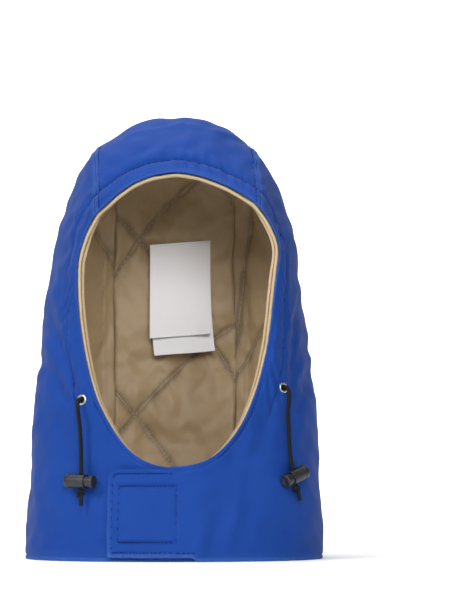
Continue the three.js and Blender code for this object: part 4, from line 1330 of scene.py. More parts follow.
@dataclass
class Shell:
    """The three panels of the outer shell, the right one running round the chin as the flap."""

    cloth: Cloth
    thickness: float = 0.0015
    gap: float = 0.0003
    edge_round: float = 0.0011
    hem_round: float = 0.0012
    hem_fold: float = 0.0037
    hem_valley: float = 0.0008
    punch: float = 0.00325
    material: bpy.types.Material = field(default_factory=SHELL_TWILL.material)

    def centre_columns(self) -> Array:
        """Space the centre panel's columns, closer at its two seams."""
        edge = 1 - self.gap / self.cloth.form.seam_spacing
        close = np.array([0.0, 0.0004, 0.0009, 0.0016, 0.0028]) / (self.cloth.form.seam_spacing / 2)
        inner = np.linspace(-edge + 0.06, edge - 0.06, 84)
        return np.concatenate([-edge + close, inner, (edge - close)[::-1]])

    def side_columns(self, ends: Array) -> Array:
        """Space a side panel's columns: close at the seam, then even over the side and the chin."""
        seam = self.seam_end()
        close = np.array([0.0, 0.0004, 0.0009, 0.0016, 0.0028]) / self.side_scale()
        return np.concatenate([
            seam + close,
            np.linspace(1 + 0.0048 / self.side_scale(), 2, 104),
            np.linspace(2, 3, 34)[1:],
            ends,
        ])

    def side_scale(self) -> float:
        """Give the metres to one step of around just past the seam."""
        ends = self.cloth.form.base(np.full(2, 0.5), np.array([1.0, 1.02]))
        return float(np.linalg.norm(ends[1] - ends[0]) / 0.02)

    def seam_end(self) -> float:
        """Give the around value of a side panel's edge: half a gap past the seam."""
        return 1 + self.gap / self.side_scale()

    def panel(
        self,
        net: Net,
        lift: Array | float = 0.0,
        thickness: Array | float | None = None,
        valley: Array | float = 0.0,
    ) -> Shape:
        """Make one panel as a wall whose outer face is rounded over at its seams and hem.

        Args:
            net: The panel's net.
            lift: How far each point stands off the surface, as the flap does.
            thickness: Wall thickness, where it isn't the shell's.
            valley: How far sewing pulls each outer point in.

        Returns:
            The shape, with flat coordinates that are true lengths across and along.
        """
        point, out = self.cloth.frame_at(net.along, net.around)
        across, down = travelled(point, 1), travelled(point, 0)
        from_side = np.minimum(across, across[:, -1:] - across)
        from_hem = down[-1:] - down
        thick = self.thickness if thickness is None else thickness
        hem_fold = self.hem_valley * hill(from_hem - self.hem_fold, 0.0008)
        drop = rolled(from_side, self.edge_round) + rolled(from_hem, self.hem_round)
        drop = np.minimum(drop + np.maximum(hem_fold, valley), 0.85 * thick)
        outer = point + out * (lift - drop)[..., None]
        inner = point + out * (lift - thick + np.zeros_like(drop))[..., None]
        on_floor = net.along[-1] >= 1
        for layer in (outer, inner):
            layer[-1, on_floor, 2] = 0
        middle = across[:, across.shape[1] // 2][:, None]
        wear_and_shade = hill(from_hem, 0.004) + 0.7 * hill(from_side, 0.003) + 0.5 * hill(net.along, 0.01)
        return Shape.wall(outer, inner, np.stack([across - middle, from_hem], axis=-1), np.clip(wear_and_shade, 0, 1))

    def centre(self) -> Shape:
        """Make the strip over the crown and down the back."""
        return self.panel(Net.laid(self.cloth, self.centre_columns(), 200))

    def left(self) -> Shape:
        """Make the left panel, whose end lies under the flap."""
        lap = self.cloth.lap
        ends = np.linspace(3, lap.around(-lap.underlap), 11)[1:]
        columns = -self.side_columns(ends)[::-1]
        return self.panel(Net.laid(self.cloth, columns, 140))

    def right(self) -> Shape:
        """Make the right panel, whose end is the flap with its boxed stitching."""
        lap, form = self.cloth.lap, self.cloth.form
        round_end = lap.corner * np.sin(np.linspace(0, np.pi / 2, 10))
        level = np.linspace(0, lap.corner - lap.reach, 42)[1:-1]
        across = np.concatenate([level, lap.corner - lap.reach - round_end])
        across[-1] = -lap.reach
        columns = self.side_columns(lap.around(across))
        reach = form.chin_side * (3 - columns)
        past_middle = smooth(0, 0.012, -reach)
        flap_top = lap.top(np.maximum(reach, -lap.reach))
        top = np.minimum(mix(form.chin_height, flap_top, past_middle), flap_top + 0.002)
        top = np.where(reach < 0, top, np.nan)
        hem_up = lap.hem_up * (1 - smooth(lap.underlap - 0.002, lap.underlap + 0.0005, reach))
        net = Net.laid(self.cloth, columns, 140, top, hem_up)
        share = lap.flap_share(net.around)
        up = form.base(net.along, net.around)[..., 2]
        valley = lap.sewn(form.chin_side * (3 - net.around), up)
        return self.panel(net, lap.over_lift * share, mix(self.thickness, lap.thickness, share), valley)

    def drill(self, side: float, up: float) -> bpy.types.Object:
        """Make the cutter of one eyelet's hole."""
        along, around = self.cloth.form.find_on_front(side, up)
        point, out = self.cloth.frame_at(np.array([along]), np.array([around]))
        profile = [(self.punch, -0.01), (self.punch, 0.01)]
        return Shape.turned(profile, 32).moved(facing_basis(point[0], out[0], UP)).made("drill")

    def build(self) -> None:
        left_eyelet, right_eyelet = self.cloth.form.eyelets
        panels = (
            ("centre", self.centre(), "centre_panel", []),
            ("left", self.left(), "side_panel_left", [left_eyelet]),
            ("right", self.right(), "side_panel_right", [right_eyelet]),
        )
        for name, shape, node, holes in panels:
            piece = carved(shape.made(f"shell_{name}"), [self.drill(*hole) for hole in holes])
            dressed(piece, self.material, Slot.SHELL, node)
            shape.cut_size()
            shape.outer_area()


@dataclass(frozen=True)
class Settling:
    """A cloth simulation of one padded face, which swells and sags between its stitch lines and rims."""

    frames: int = 12
    pressure: float = 2.2
    slack: float = 0.005
    weight: float = 0.35
    cap: float = 0.0021
    stride: int = 2
    quality: int = 5
    mass: float = 0.25
    tension: float = 18
    compression: float = 12
    shear: float = 6
    bending: float = 0.6

    def settle(self, face: Array, held: Array) -> Array:
        """Run the simulation on every second row and column, and spread what it finds over the whole face.

        The way that a point has moved is capped: cap times the hyperbolic tangent of its length over cap.

        Args:
            face: Rows by columns of points, columns to the left of rows as seen from outside.
            held: True where a point is sewn down.

        Returns:
            How far each point has moved.
        """
        rows = np.unique(np.append(np.arange(0, face.shape[0], self.stride), face.shape[0] - 1))
        columns = np.unique(np.append(np.arange(0, face.shape[1], self.stride), face.shape[1] - 1))
        coarse = face[np.ix_(rows, columns)]
        index = np.arange(len(rows) * len(columns)).reshape(len(rows), len(columns))
        swatch = Shape(coarse.reshape(-1, 3), [grid_quads(index)[:, ::-1]]).made("swatch")
        group = swatch.vertex_groups.new(name="sewn")
        group.add(np.flatnonzero(held[np.ix_(rows, columns)]).tolist(), 1.0, "REPLACE")
        self._hang(swatch)
        scene = bpy.context.scene
        for frame_number in range(1, self.frames + 1):
            scene.frame_set(frame_number)
        done = swatch.evaluated_get(bpy.context.evaluated_depsgraph_get())
        places = np.empty(coarse.size, dtype=np.float32)
        done.data.vertices.foreach_get("co", places)
        scene.frame_set(1)
        bpy.data.objects.remove(swatch)
        moved = places.reshape(coarse.shape).astype(float) - coarse
        length = np.linalg.norm(moved, axis=-1, keepdims=True) + 1e-9
        moved = moved / length * self.cap * np.tanh(length / self.cap)
        row = np.interp(np.arange(face.shape[0]), rows, np.arange(len(rows)))
        column = np.interp(np.arange(face.shape[1]), columns, np.arange(len(columns)))
        return between(moved, *np.meshgrid(row, column, indexing="ij"))

    def _hang(self, swatch: bpy.types.Object) -> None:
        """Give the swatch its cloth settings."""
        cloth = swatch.modifiers.new("cloth", "CLOTH")
        cloth.point_cache.frame_start = 1
        cloth.point_cache.frame_end = self.frames
        settings = cloth.settings
        settings.quality = self.quality
        settings.mass = self.mass
        settings.tension_stiffness = self.tension
        settings.compression_stiffness = self.compression
        settings.shear_stiffness = self.shear
        settings.bending_stiffness = self.bending
        settings.shrink_min = -self.slack
        settings.vertex_group_mass = "sewn"
        settings.use_pressure = True
        settings.uniform_pressure_force = self.pressure
        settings.effector_weights.gravity = self.weight
        cloth.collision_settings.use_collision = False


@dataclass(frozen=True)
class Slant:
    """One slant of the quilting: parallel stitch lines over a flat panel."""

    sign: int
    lean_degrees: float
    spacing: float
    phase: float

    @property
    def turn(self) -> tuple[float, float]:
        """Give the sine and cosine of the lean from level."""
        lean = math.radians(self.lean_degrees)
        return math.sin(lean), math.cos(lean)

    def measure(self, across: Array, up: Array) -> tuple[Array, Array]:
        """Give the distance to the nearest stitch line, and the distance travelled along it.

        Across times the sine and up times the signed cosine add up to the distance over the lines.

        Args:
            across: Distance across the flat panel from its middle.
            up: Distance up the flat panel from the hem.

        Returns:
            Distance to the line, and along it.
        """
        sine, cosine = self.turn
        run = (across * sine + self.sign * up * cosine) / self.spacing + self.phase
        return np.abs(run - np.round(run)) * self.spacing, across * cosine - self.sign * up * sine

    def climb(self, number: int, across: Array) -> Array:
        """Give how far up a numbered line is, at distances across."""
        sine, cosine = self.turn
        return self.sign * ((number - self.phase) * self.spacing - across * sine) / cosine


@dataclass(frozen=True)
class QuiltFace:
    """The padded face of one lining panel with its flat coordinates, and the stitch lines on it."""

    points: Array
    inward: Array
    spread: Array
    climb: Array
    from_edge: Array
    slants: Sequence[Slant]
    clear: float

    def place_of(self, across: Array, up: Array) -> tuple[Array, Array, Array]:
        """Find the fractional row and column of flat places, and whether each lies on the panel."""
        count = len(self.climb)
        row = np.interp(up, self.climb[::-1], np.arange(count)[::-1])
        r = np.clip(np.floor(row).astype(int), 0, count - 2)
        line = mix(self.spread[r], self.spread[r + 1], (row - r)[:, None])
        c = np.clip((line < across[:, None]).sum(axis=1) - 1, 0, line.shape[1] - 2)
        at = np.arange(len(across))
        column = c + (across - line[at, c]) / (line[at, c + 1] - line[at, c])
        on_panel = (up > self.climb[-1] + 0.002) & (up < self.climb[0])
        on_panel &= (across > line[:, 0] + 0.001) & (across < line[:, -1] - 0.001)
        return row, np.clip(column, 0, line.shape[1] - 1), on_panel

    def lines(self) -> list[tuple[Array, Array]]:
        """Give the points and inward directions of every stitch line, clear of the channel's facing."""
        reach, high = float(np.abs(self.spread).max()), float(self.climb[0])
        across = np.linspace(-reach, reach, 1400)
        found = []
        for slant in self.slants:
            most = int((reach + high) / slant.spacing) + 2
            for number in range(-most, most + 1):
                row, column, on_panel = self.place_of(across, slant.climb(number, across))
                from_edge = between(self.from_edge[..., None], row, column)[:, 0]
                kept = np.flatnonzero(on_panel & (from_edge > self.clear))
                for run in np.split(kept, np.flatnonzero(np.diff(kept) > 1) + 1):
                    if len(run) > 12:
                        places = row[run], column[run]
                        found.append((between(self.points, *places), between(self.inward, *places)))
        return found


CENTRE_SLANTS = (Slant(-1, 44.5, 0.1198, 0.0), Slant(1, 53.5, 0.1041, 0.543))
LEFT_SLANTS = (Slant(-1, 50.0, 0.106, 0.0), Slant(1, 50.0, 0.106, 0.5))
RIGHT_SLANTS = (Slant(-1, 50.0, 0.106, 0.0), Slant(1, 50.0, 0.106, 0.5))


@dataclass
class Lining:
    """The quilted lining in three panels, with a thin facing under the channel."""

    cloth: Cloth
    settling: Settling | None
    shell: float = 0.0015
    clearance: float = 0.00055
    gap: float = 0.0003
    padding: float = 0.0057
    quilted_down: float = 0.0034
    stitch_breadth: float = 0.012
    crease: float = 0.0011
    crease_breadth: float = 0.0019
    drape: float = 0.0012
    drape_length: float = 0.034
    tunnel: float = 0.0046
    facing: float = 0.002
    hem_up: float = 0.003
    seam_spacing: float = 0.116
    pucker: float = 0.00045
    pucker_length: float = 0.0125
    pucker_reach: float = 0.015
    deepest: float = 0.0088
    sewn_reach: float = 0.0026
    rim_reach: float = 0.004
    side_roll: float = 0.0032
    hem_roll: float = 0.0035
    side_middle: float = 1.75
    fill: float = 0.3
    material: bpy.types.Material = field(default_factory=LINING_SATIN.material)

    @property
    def seam(self) -> float:
        """Give the around value of the lining's seams."""
        return self.seam_spacing / self.cloth.form.seam_spacing

    @property
    def padded_depth(self) -> float:
        """Give the depth of the padding's outer face."""
        return self.shell + self.clearance

    def quilting(
        self, across: Array, up: Array, point: Array, slants: Sequence[Slant]
    ) -> tuple[Array, Array]:
        """Work out the padding's inner face: the padding less the pull of the nearest stitch line.

        Puckers are short waves along the stitch lines, strongest just beside them. Long upright folds and a
        slight unevenness are added all over.

        Args:
            across: Distances to the side, on the flat cloth.
            up: Heights above the hem, on the flat cloth.
            point: Points of the outer face.
            slants: The rising and the falling stitch lines.

        Returns:
            The depth of the inner face, and the distance to the nearest stitch line.
        """
        nearest = np.full_like(across, np.inf)
        pucker = np.zeros_like(across)
        for slant in slants:
            apart, run = slant.measure(across, up)
            nearest = np.minimum(nearest, apart)
            wave = np.sin(2 * np.pi * run / self.pucker_length + 2.4 * waves(point, 0.035, 21 + slant.sign))
            pucker = pucker + self.pucker * wave * hill(apart, self.pucker_reach) * (1 - hill(apart, 0.0025))
        loose = 0.0008 * waves(point, 0.045, 25) + 0.0004 * waves(point, 0.016, 26)
        loose = loose + self.drape * waves(point * [1.0, 1.0, 0.22], self.drape_length, 27)
        pull = self.quilted_down * hill(nearest, self.stitch_breadth)
        pull = pull + self.crease * hill(nearest, self.crease_breadth)
        return self.padded_depth + self.padding - pull + pucker + loose, nearest

    def panel(
        self, columns: Array, rows: int, middle: float, slants: Sequence[Slant]
    ) -> tuple[Shape, QuiltFace]:
        """Make one panel as a closed wall.

        Args:
            columns: Around value of each column.
            rows: Rows between the facing and the hem.
            middle: Around value of the column that the quilting is measured from.
            slants: The rising and the falling stitch lines.

        Returns:
            The shape, and its padded face.
        """
        net = Net.laid(self.cloth, columns, rows, hem_up=self.hem_up)
        point, out = self.cloth.frame_at(net.along, net.around)
        across, down = travelled(point, 1), travelled(point, 0)
        centre = int(np.argmin(np.abs(columns - middle)))
        spread = across - across[:, centre : centre + 1]
        climb = down[-1, centre] - down[:, centre]
        from_edge = self.cloth.form.from_edge(self.cloth.form.base(net.along, net.around))
        facing = self.cloth.relief.facing
        faced = 1 - smooth(facing, 1.16 * facing, from_edge)
        tuck = 0.0008 * (1 - smooth(0, 0.009, from_edge))
        outer_depth = mix(self.padded_depth, self.shell + self.tunnel + self.gap, faced) - tuck
        up = climb[:, None] + np.zeros_like(spread)
        inner_depth, nearest = self.quilting(spread, up, point, slants)
        facing_depth = self.shell + self.tunnel + self.gap + self.facing
        crease = 0.0005 * hill(from_edge - 0.97 * facing, 0.0016)
        inner_depth = mix(inner_depth, facing_depth - tuck - crease, faced)
        from_side = np.minimum(across, across[:, -1:] - across)
        from_hem = down[-1:] - down
        if self.settling is not None:
            face = point - out * inner_depth[..., None]
            sewn = (nearest < self.sewn_reach) | (from_edge < 1.2 * facing)
            sewn = sewn | (from_side < self.rim_reach) | (from_hem < self.rim_reach)
            moved = self.settling.settle(face, sewn)
            inner_depth = inner_depth - (moved * out).sum(axis=-1)
        inner_depth = np.minimum(inner_depth, self.deepest)
        inner_depth = inner_depth - rolled(from_side, self.side_roll) * (1 - 0.6 * faced)
        inner_depth = inner_depth - rolled(from_hem, self.hem_roll)
        inner_depth = np.maximum(inner_depth, outer_depth + 0.0004)
        outer = point - out * outer_depth[..., None]
        inner = point - out * inner_depth[..., None]
        quilt = QuiltFace(inner, -out, spread, climb, from_edge, slants, 1.2 * facing)
        # Painted shade: the lining is darkened along its quilting lines, where the creases lie in shade.
        beside = nearest + 0.0012 * waves(point, 0.02, 28)
        wear_and_shade_mask = (hill(beside - 0.0011, 0.0017) + 0.25 * hill(nearest, 0.006)) * (1 - faced)
        return Shape.wall(outer, inner, np.stack([spread, from_hem], axis=-1), np.clip(wear_and_shade_mask, 0, 1)), quilt

    def centre_columns(self) -> Array:
        """Space the centre panel's columns between its two seams, closer at them."""
        edge = self.seam - self.gap / self.cloth.form.seam_spacing
        close = RIM_STEPS / (self.cloth.form.seam_spacing / 2)
        between_seams = np.linspace(-edge + 0.075, edge - 0.075, 60)
        return np.concatenate([-edge + close, between_seams, (edge - close)[::-1]])

    def side_columns(self, across_end: float) -> Array:
        """Space a side panel's columns from its seam to a place on the chin."""
        start = self.seam + self.gap / self.cloth.form.seam_spacing
        close = start + RIM_STEPS / (self.cloth.form.seam_spacing / 2)
        end = self.cloth.lap.around(across_end)
        chin_end = end - RIM_STEPS[::-1] / self.cloth.form.chin_side
        return np.concatenate([
            close,
            np.linspace(close[-1], 1, 8)[1:],
            np.linspace(1, 2, 92)[1:],
            np.linspace(2, chin_end[0], 30)[1:],
            chin_end[1:],
        ])

    def build(self) -> list[QuiltFace]:
        lap = self.cloth.lap
        left = -self.side_columns(-lap.underlap)[::-1]
        right = self.side_columns(lap.underlap + 0.003)
        panels = {
            "centre": self.panel(self.centre_columns(), 180, 0.0, CENTRE_SLANTS),
            "left": self.panel(left, 124, -self.side_middle, LEFT_SLANTS),
            "right": self.panel(right, 124, self.side_middle, RIGHT_SLANTS),
        }
        for name, (shape, _) in panels.items():
            piece = shape.made(f"quilted_lining_{name}")
            dressed(piece, self.material, Slot.LINING, f"lining_{name}")
        return [quilt for _, quilt in panels.values()]


@dataclass
class Binding:
    """The cream binding that wraps the face edge."""

    cloth: Cloth
    diameter: float = 0.0031
    proud_at_top: float = 0.0010
    proud_at_side: float = -0.0016
    sunk_at_chin: float = 0.0024
    turn_in: tuple[float, float] = (1.55, 1.88)
    depth: float = 0.00395
    sides: int = 14
    rings: int = 420
    gap: float = 0.0003
    lap_clearance: float = 0.003
    material: bpy.types.Material = field(default_factory=BINDING_SATIN.material)

    def build(self) -> bpy.types.Object:
        """Make and dress the binding: a round section along the face edge, a little uneven."""
        lap = self.cloth.lap
        start = -lap.around(4 * self.gap - lap.underlap)
        around = np.linspace(start, lap.around(lap.underlap + self.lap_clearance), 900)
        edge, out = self.cloth.frame_at(np.zeros_like(around), around)
        inside, _ = self.cloth.frame_at(np.full_like(around, 0.02), around)
        turn = np.abs(around)
        proud = mix(self.proud_at_top, self.proud_at_side, smooth(0.9, 1.35, turn))
        proud = mix(proud, -self.sunk_at_chin, smooth(*self.turn_in, turn))
        proud = proud + 0.0003 * waves(edge, 0.020, 32) * (turn < 2)
        path = edge - out * self.depth - unit(inside - edge) * proud[:, None]
        both = spaced(np.concatenate([path, out], axis=1), self.rings)
        uneven = self.diameter / 2 * (1 + 0.06 * waves(both[:, :3], 0.016, 31))
        shape = Shape.tube(both[:, :3], uneven, self.sides, both[:, 3:])
        return dressed(shape.made("binding"), self.material, Slot.BINDING, "face_binding")


@dataclass
class ClosurePatch:
    """The touch fastener between the flap and the panel under it."""

    cloth: Cloth
    gap: float = 0.0003
    material: bpy.types.Material = field(default_factory=FASTENER_PILE.material)

    def build(self) -> bpy.types.Object:
        """Make and dress the patch: a square of the surface with a wall's thickness and a rough pile."""
        lap, form = self.cloth.lap, self.cloth.form
        left = lap.patch_from_end - lap.reach
        columns = -lap.around(-np.linspace(left + lap.patch, left, 60))
        heights = np.linspace(lap.patch_up + lap.patch, lap.patch_up, 60)[:, None]
        around = np.broadcast_to(columns, (60, 60))
        along = form.along_at_height(np.broadcast_to(heights, around.shape), around)
        point, out = self.cloth.frame_at(along, around)
        across = travelled(point, 1)
        from_hem = travelled(point, 0)[-1:] - travelled(point, 0)
        pile = 0.00015 * waves(point, 0.0022, 41)
        outer = point + out * (self.gap + lap.patch_thickness - 0.0002 + pile)[..., None]
        shape = Shape.wall(outer, point + out * self.gap, np.stack([across, from_hem], axis=-1))
        return dressed(shape.made("fastener_patch"), self.material, Slot.FASTENER, "closure_patch")


def smooth_route(points: Array, steps: int = 14) -> Array:
    """Draw a smooth curve through a cord's points: a cubic between each two.

    The slopes come from the neighbours with steps of the square root of their distance, which keeps the curve
    from looping between close points.

    Args:
        points: Points of the route.
        steps: Steps between two points.

    Returns:
        Points of the curve, the two ends included.
    """
    ends = [2 * points[0] - points[1]], [2 * points[-1] - points[-2]]
    p = np.concatenate([ends[0], points, ends[1]])
    gap = np.sqrt(np.linalg.norm(np.diff(p, axis=0), axis=1))[:, None]
    before, here, after = gap[:-2], gap[1:-1], gap[2:]
    p0, p1, p2, p3 = p[:-3], p[1:-2], p[2:-1], p[3:]
    start = ((p1 - p0) / before - (p2 - p0) / (before + here) + (p2 - p1) / here) * here
    end = ((p2 - p1) / here - (p3 - p1) / (here + after) + (p3 - p2) / after) * here
    t = np.linspace(0, 1, steps, endpoint=False)[None, :, None]
    p1, p2, start, end = p1[:, None], p2[:, None], start[:, None], end[:, None]
    curve = (
        (2 * t**3 - 3 * t**2 + 1) * p1
        + (t**3 - 2 * t**2 + t) * start
        + (3 * t**2 - 2 * t**3) * p2
        + (t**3 - t**2) * end
    )
    return np.concatenate([curve.reshape(-1, 3), points[-1:]])


@dataclass
class CordEnd:
    """One free end of the drawcord with its knot."""

    name: str
    route: Array
    diameter: float = 0.0034
    knot_gap: float = 0.0003
    knot_length: float = 0.0065
    knot_tail: float = 0.007
    knot_scale: float = 0.00105
    sides: int = 16
    material: bpy.types.Material = field(default_factory=CORD_BRAID.material)

    def curve(self) -> Array:
        """Give the cord's middle line in even steps."""
        return spaced(smooth_route(self.route), 110)

    def knot_path(self) -> Array:
        """Give the overhand knot's middle line and its tail.

        The knot is a cubic across against a quartic and a quintic, which is a trefoil. It closes up to the
        cord's line at both ends, and a straight tail follows.

        Returns:
            Points with the cord's end at 0 and the tail along minus Z.
        """
        t = np.linspace(-2.1, 2.1, 90)
        closing = 1 - smooth(1.65, 2.1, np.abs(t))
        scale = self.knot_scale
        across = scale * (t**4 - 4 * t**2 + 1.4) * closing
        out = scale * (t**5 / 5 - 2 * t) * closing
        down = -self.knot_length / 2 - scale * (t**3 - 3 * t)
        knot = np.stack([across, out, down], axis=-1)
        tail = np.linspace(down[-1], -self.knot_length - self.knot_tail, 20)[1:]
        return np.concatenate([knot, np.stack([0 * tail, 0 * tail, tail], axis=-1)])

    def knot(self) -> Shape:
        """Make the knot: a tube that is pressed thinner inside the knot."""
        path = self.knot_path()
        inside = hill(path[:, 2] + self.knot_length / 2, 0.0036)
        radius = self.diameter / 2 * (1 - 0.2 * inside)
        facing = unit(np.array([0.35, 1.0, 0.12]))
        end = self.curve()[-1]
        down = unit(self.curve()[-1] - self.curve()[-2])
        seat = facing_basis(end + down * self.knot_gap, -down, np.array([0.0, 1.0, 0.0]))
        return Shape.tube(path, radius, self.sides, facing).moved(seat)

    def build(self, lock: Sequence[bpy.types.Object]) -> bpy.types.Object:
        """Args:
            lock: The pieces of the cord lock on it. Not used.

        Returns:
            The cord.
        """
        curve = self.curve()
        facing = np.array([0.0, -1.0, 0.25])
        tube = Shape.tube(curve, self.diameter / 2, self.sides, facing)
        cord = dressed(tube.made(f"cord_{self.name}"), self.material, Slot.CORD, f"cord_end_{self.name}")
        knot = self.knot().made(f"knot_{self.name}")
        dressed(knot, self.material, Slot.CORD, f"cord_knot_{self.name}")
        return cord


@dataclass
class CordLock:
    """A barrel lock on one cord, with the sprung plunger that holds the cord."""

    name: str
    form: HoodForm
    route: Array
    up: float
    side: int
    tilt_degrees: float
    barrel: float = 0.012
    length: float = 0.019
    bore: float = 0.0101
    wall_end: float = 0.0024
    plunger: float = 0.0095
    cap: float = 0.011
    cap_thickness: float = 0.0036
    press: float = 0.004
    gap: float = 0.0003
    from_mouth: float = 0.0047
    plunger_depth: float = 0.0094
    hole: float = 0.0042
    sides: int = 56
    material: bpy.types.Material = field(default_factory=LOCK_MOULDING.material)

    def seat(self) -> Matrix:
        """Give the matrix of the lock: Z comes out of the barrel's mouth and Y runs up the cord."""
        curve = spaced(smooth_route(self.route), 900)
        lower = len(curve) * 3 // 10
        at = lower + int(np.argmin(np.abs(curve[lower:, 2] - self.up)))
        middle = curve[at]
        along, around = self.form.find_on_front(float(middle[0]), self.up)
        out = self.form.outward(self.form.folded, np.array([along]), np.array([around]))[0]
        level = unit(np.cross(out, UP))
        level = level * math.copysign(1, level[0] * self.side)
        tilt = math.radians(self.tilt_degrees)
        to_end = level * math.cos(tilt) + UP * math.sin(tilt)
        cord = unit(curve[at - 3] - curve[at + 3])
        x_axis = unit(np.cross(cord, -to_end))
        return basis(middle - to_end * self.from_mouth, x_axis, np.cross(-to_end, x_axis), -to_end)

    def way(self, shift: float) -> bpy.types.Object:
        """Make the cutter of the cord's way, at a shift from where the cord runs at rest."""
        turn = Matrix.Rotation(math.radians(90), 4, "X")
        place = self.seat() @ Matrix.Translation((0, 0, shift - self.from_mouth)) @ turn
        reach = self.barrel
        return Shape.turned([(self.hole / 2, -reach), (self.hole / 2, reach)], 28).moved(place).made("way")

    def slot_middle(self) -> bpy.types.Object:
        """Make the cutter between the two ends of the plunger's slot."""
        half, reach = self.hole / 2, self.barrel
        low, high = -self.from_mouth, self.press - self.from_mouth
        corners = np.array([[half, low], [-half, low], [-half, high], [half, high]])
        points = np.stack(
            [
                np.tile(corners[:, 0], 2),
                np.repeat([-reach, reach], 4),
                np.tile(corners[:, 1], 2),
            ],
            axis=-1,
        )
        index, around = ring_numbers(2, 4)
        faces = [grid_quads(around), index[:1, ::-1], index[1:]]
        return Shape(points, faces).moved(self.seat()).made("slot")

    def barrel_shape(self) -> Shape:
        """Turn the barrel: a cup with a rounded closed end, a shallow ring and a rounded mouth."""
        outer, bore = self.barrel / 2, self.bore / 2
        turn = np.linspace(0, np.pi / 2, 7)
        corner = 0.0014
        shoulder = outer - corner
        end = [(shoulder + corner * math.sin(a), -self.length + corner * (1 - math.cos(a))) for a in turn]
        ring = [
            (outer, -0.0150), (outer - 0.0003, -0.0147), (outer - 0.0003, -0.0141), (outer, -0.0138),
        ]
        lip = 0.00045
        mouth = [(outer - lip + lip * math.cos(a), -lip + lip * math.sin(a)) for a in turn]
        inside = [(bore, -0.0002), (bore, self.wall_end - self.length), (0.0001, self.wall_end - self.length)]
        return Shape.turned([(0.0001, -self.length), *end, *ring, *mouth, *inside], self.sides)

    def plunger_shape(self) -> Shape:
        """Turn the plunger: a shaft in the barrel, and a cap with a round edge and a shallow dish."""
        shaft, cap = self.plunger / 2, self.cap / 2
        low = self.press + self.gap
        top = low + self.cap_thickness
        turn = np.linspace(0, np.pi / 2, 7)
        bevel = 0.0009
        edge = [(cap - bevel + bevel * math.cos(a), top - bevel + bevel * math.sin(a)) for a in turn]
        dish = [(0.62 * cap, top), (0.5 * cap, top - 0.0003), (0.0001, top - 0.0005)]
        low_edge = [(cap - 0.0003, low), (cap, low + 0.0003)]
        shaft_end = [(0.0001, -self.plunger_depth), (shaft - 0.0005, -self.plunger_depth)]
        shaft_side = [(shaft, 0.0005 - self.plunger_depth), (shaft, low)]
        return Shape.turned([*shaft_end, *shaft_side, *low_edge, *edge, *dish], self.sides)

    def build(self) -> list[bpy.types.Object]:
        """Make and dress the barrel and the plunger, which rides on its own body."""
        seat = self.seat()
        barrel = carved(self.barrel_shape().moved(seat).made(f"lock_barrel_{self.name}", 32), [self.way(0)])
        dressed(barrel, self.material, Slot.PLASTIC, f"cord_lock_barrel_{self.name}")
        tools = [self.way(0), self.way(self.press), self.slot_middle()]
        plunger = carved(self.plunger_shape().moved(seat).made(f"lock_plunger_{self.name}", 32), tools)
        dressed(plunger, self.material, Slot.PLASTIC, f"cord_lock_plunger_{self.name}")
        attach(plunger, f"plunger_{self.name}")
        return [barrel, plunger]


@dataclass
class Eyelet:
    """A nickel eyelet: a rounded flange on the cloth and a barrel through it."""

    name: str
    cloth: Cloth
    place: tuple[float, float]
    outer: float = 0.0094
    hole: float = 0.0048
    wall: float = 0.0005
    flange: float = 0.0008
    lift: float = 0.00055
    depth: float = 0.0018
    material: bpy.types.Material = field(default_factory=NICKEL_PLATE.material)

    def build(self) -> bpy.types.Object:
        """Make and dress the eyelet: a half ellipse over a short tube, turned about the way out."""
        inner, rim = self.hole / 2, self.outer / 2
        turn = np.linspace(0, np.pi, 15)
        middle, half = (inner + rim) / 2, (rim - inner) / 2
        top = [(middle + half * math.cos(a), self.lift + self.flange * math.sin(a) ** 0.8) for a in turn]
        under, tube = self.lift - 0.0001, inner + self.wall
        foot = [(inner, -self.depth), (tube, -self.depth), (tube, under)]
        profile = [*foot, (rim - 0.0002, under), *top, (inner, -self.depth)]
        along, around = self.cloth.form.find_on_front(*self.place)
        seat = facing_basis(
            self.cloth.form.folded(np.array([along]), np.array([around]))[0],
            self.cloth.form.outward(self.cloth.form.folded, np.array([along]), np.array([around]))[0],
            UP,
        )
        ring = Shape.turned(profile, 64).moved(seat).made(f"eyelet_ring_{self.name}", 60)
        return dressed(ring, self.material, Slot.NICKEL, f"eyelet_{self.name}")


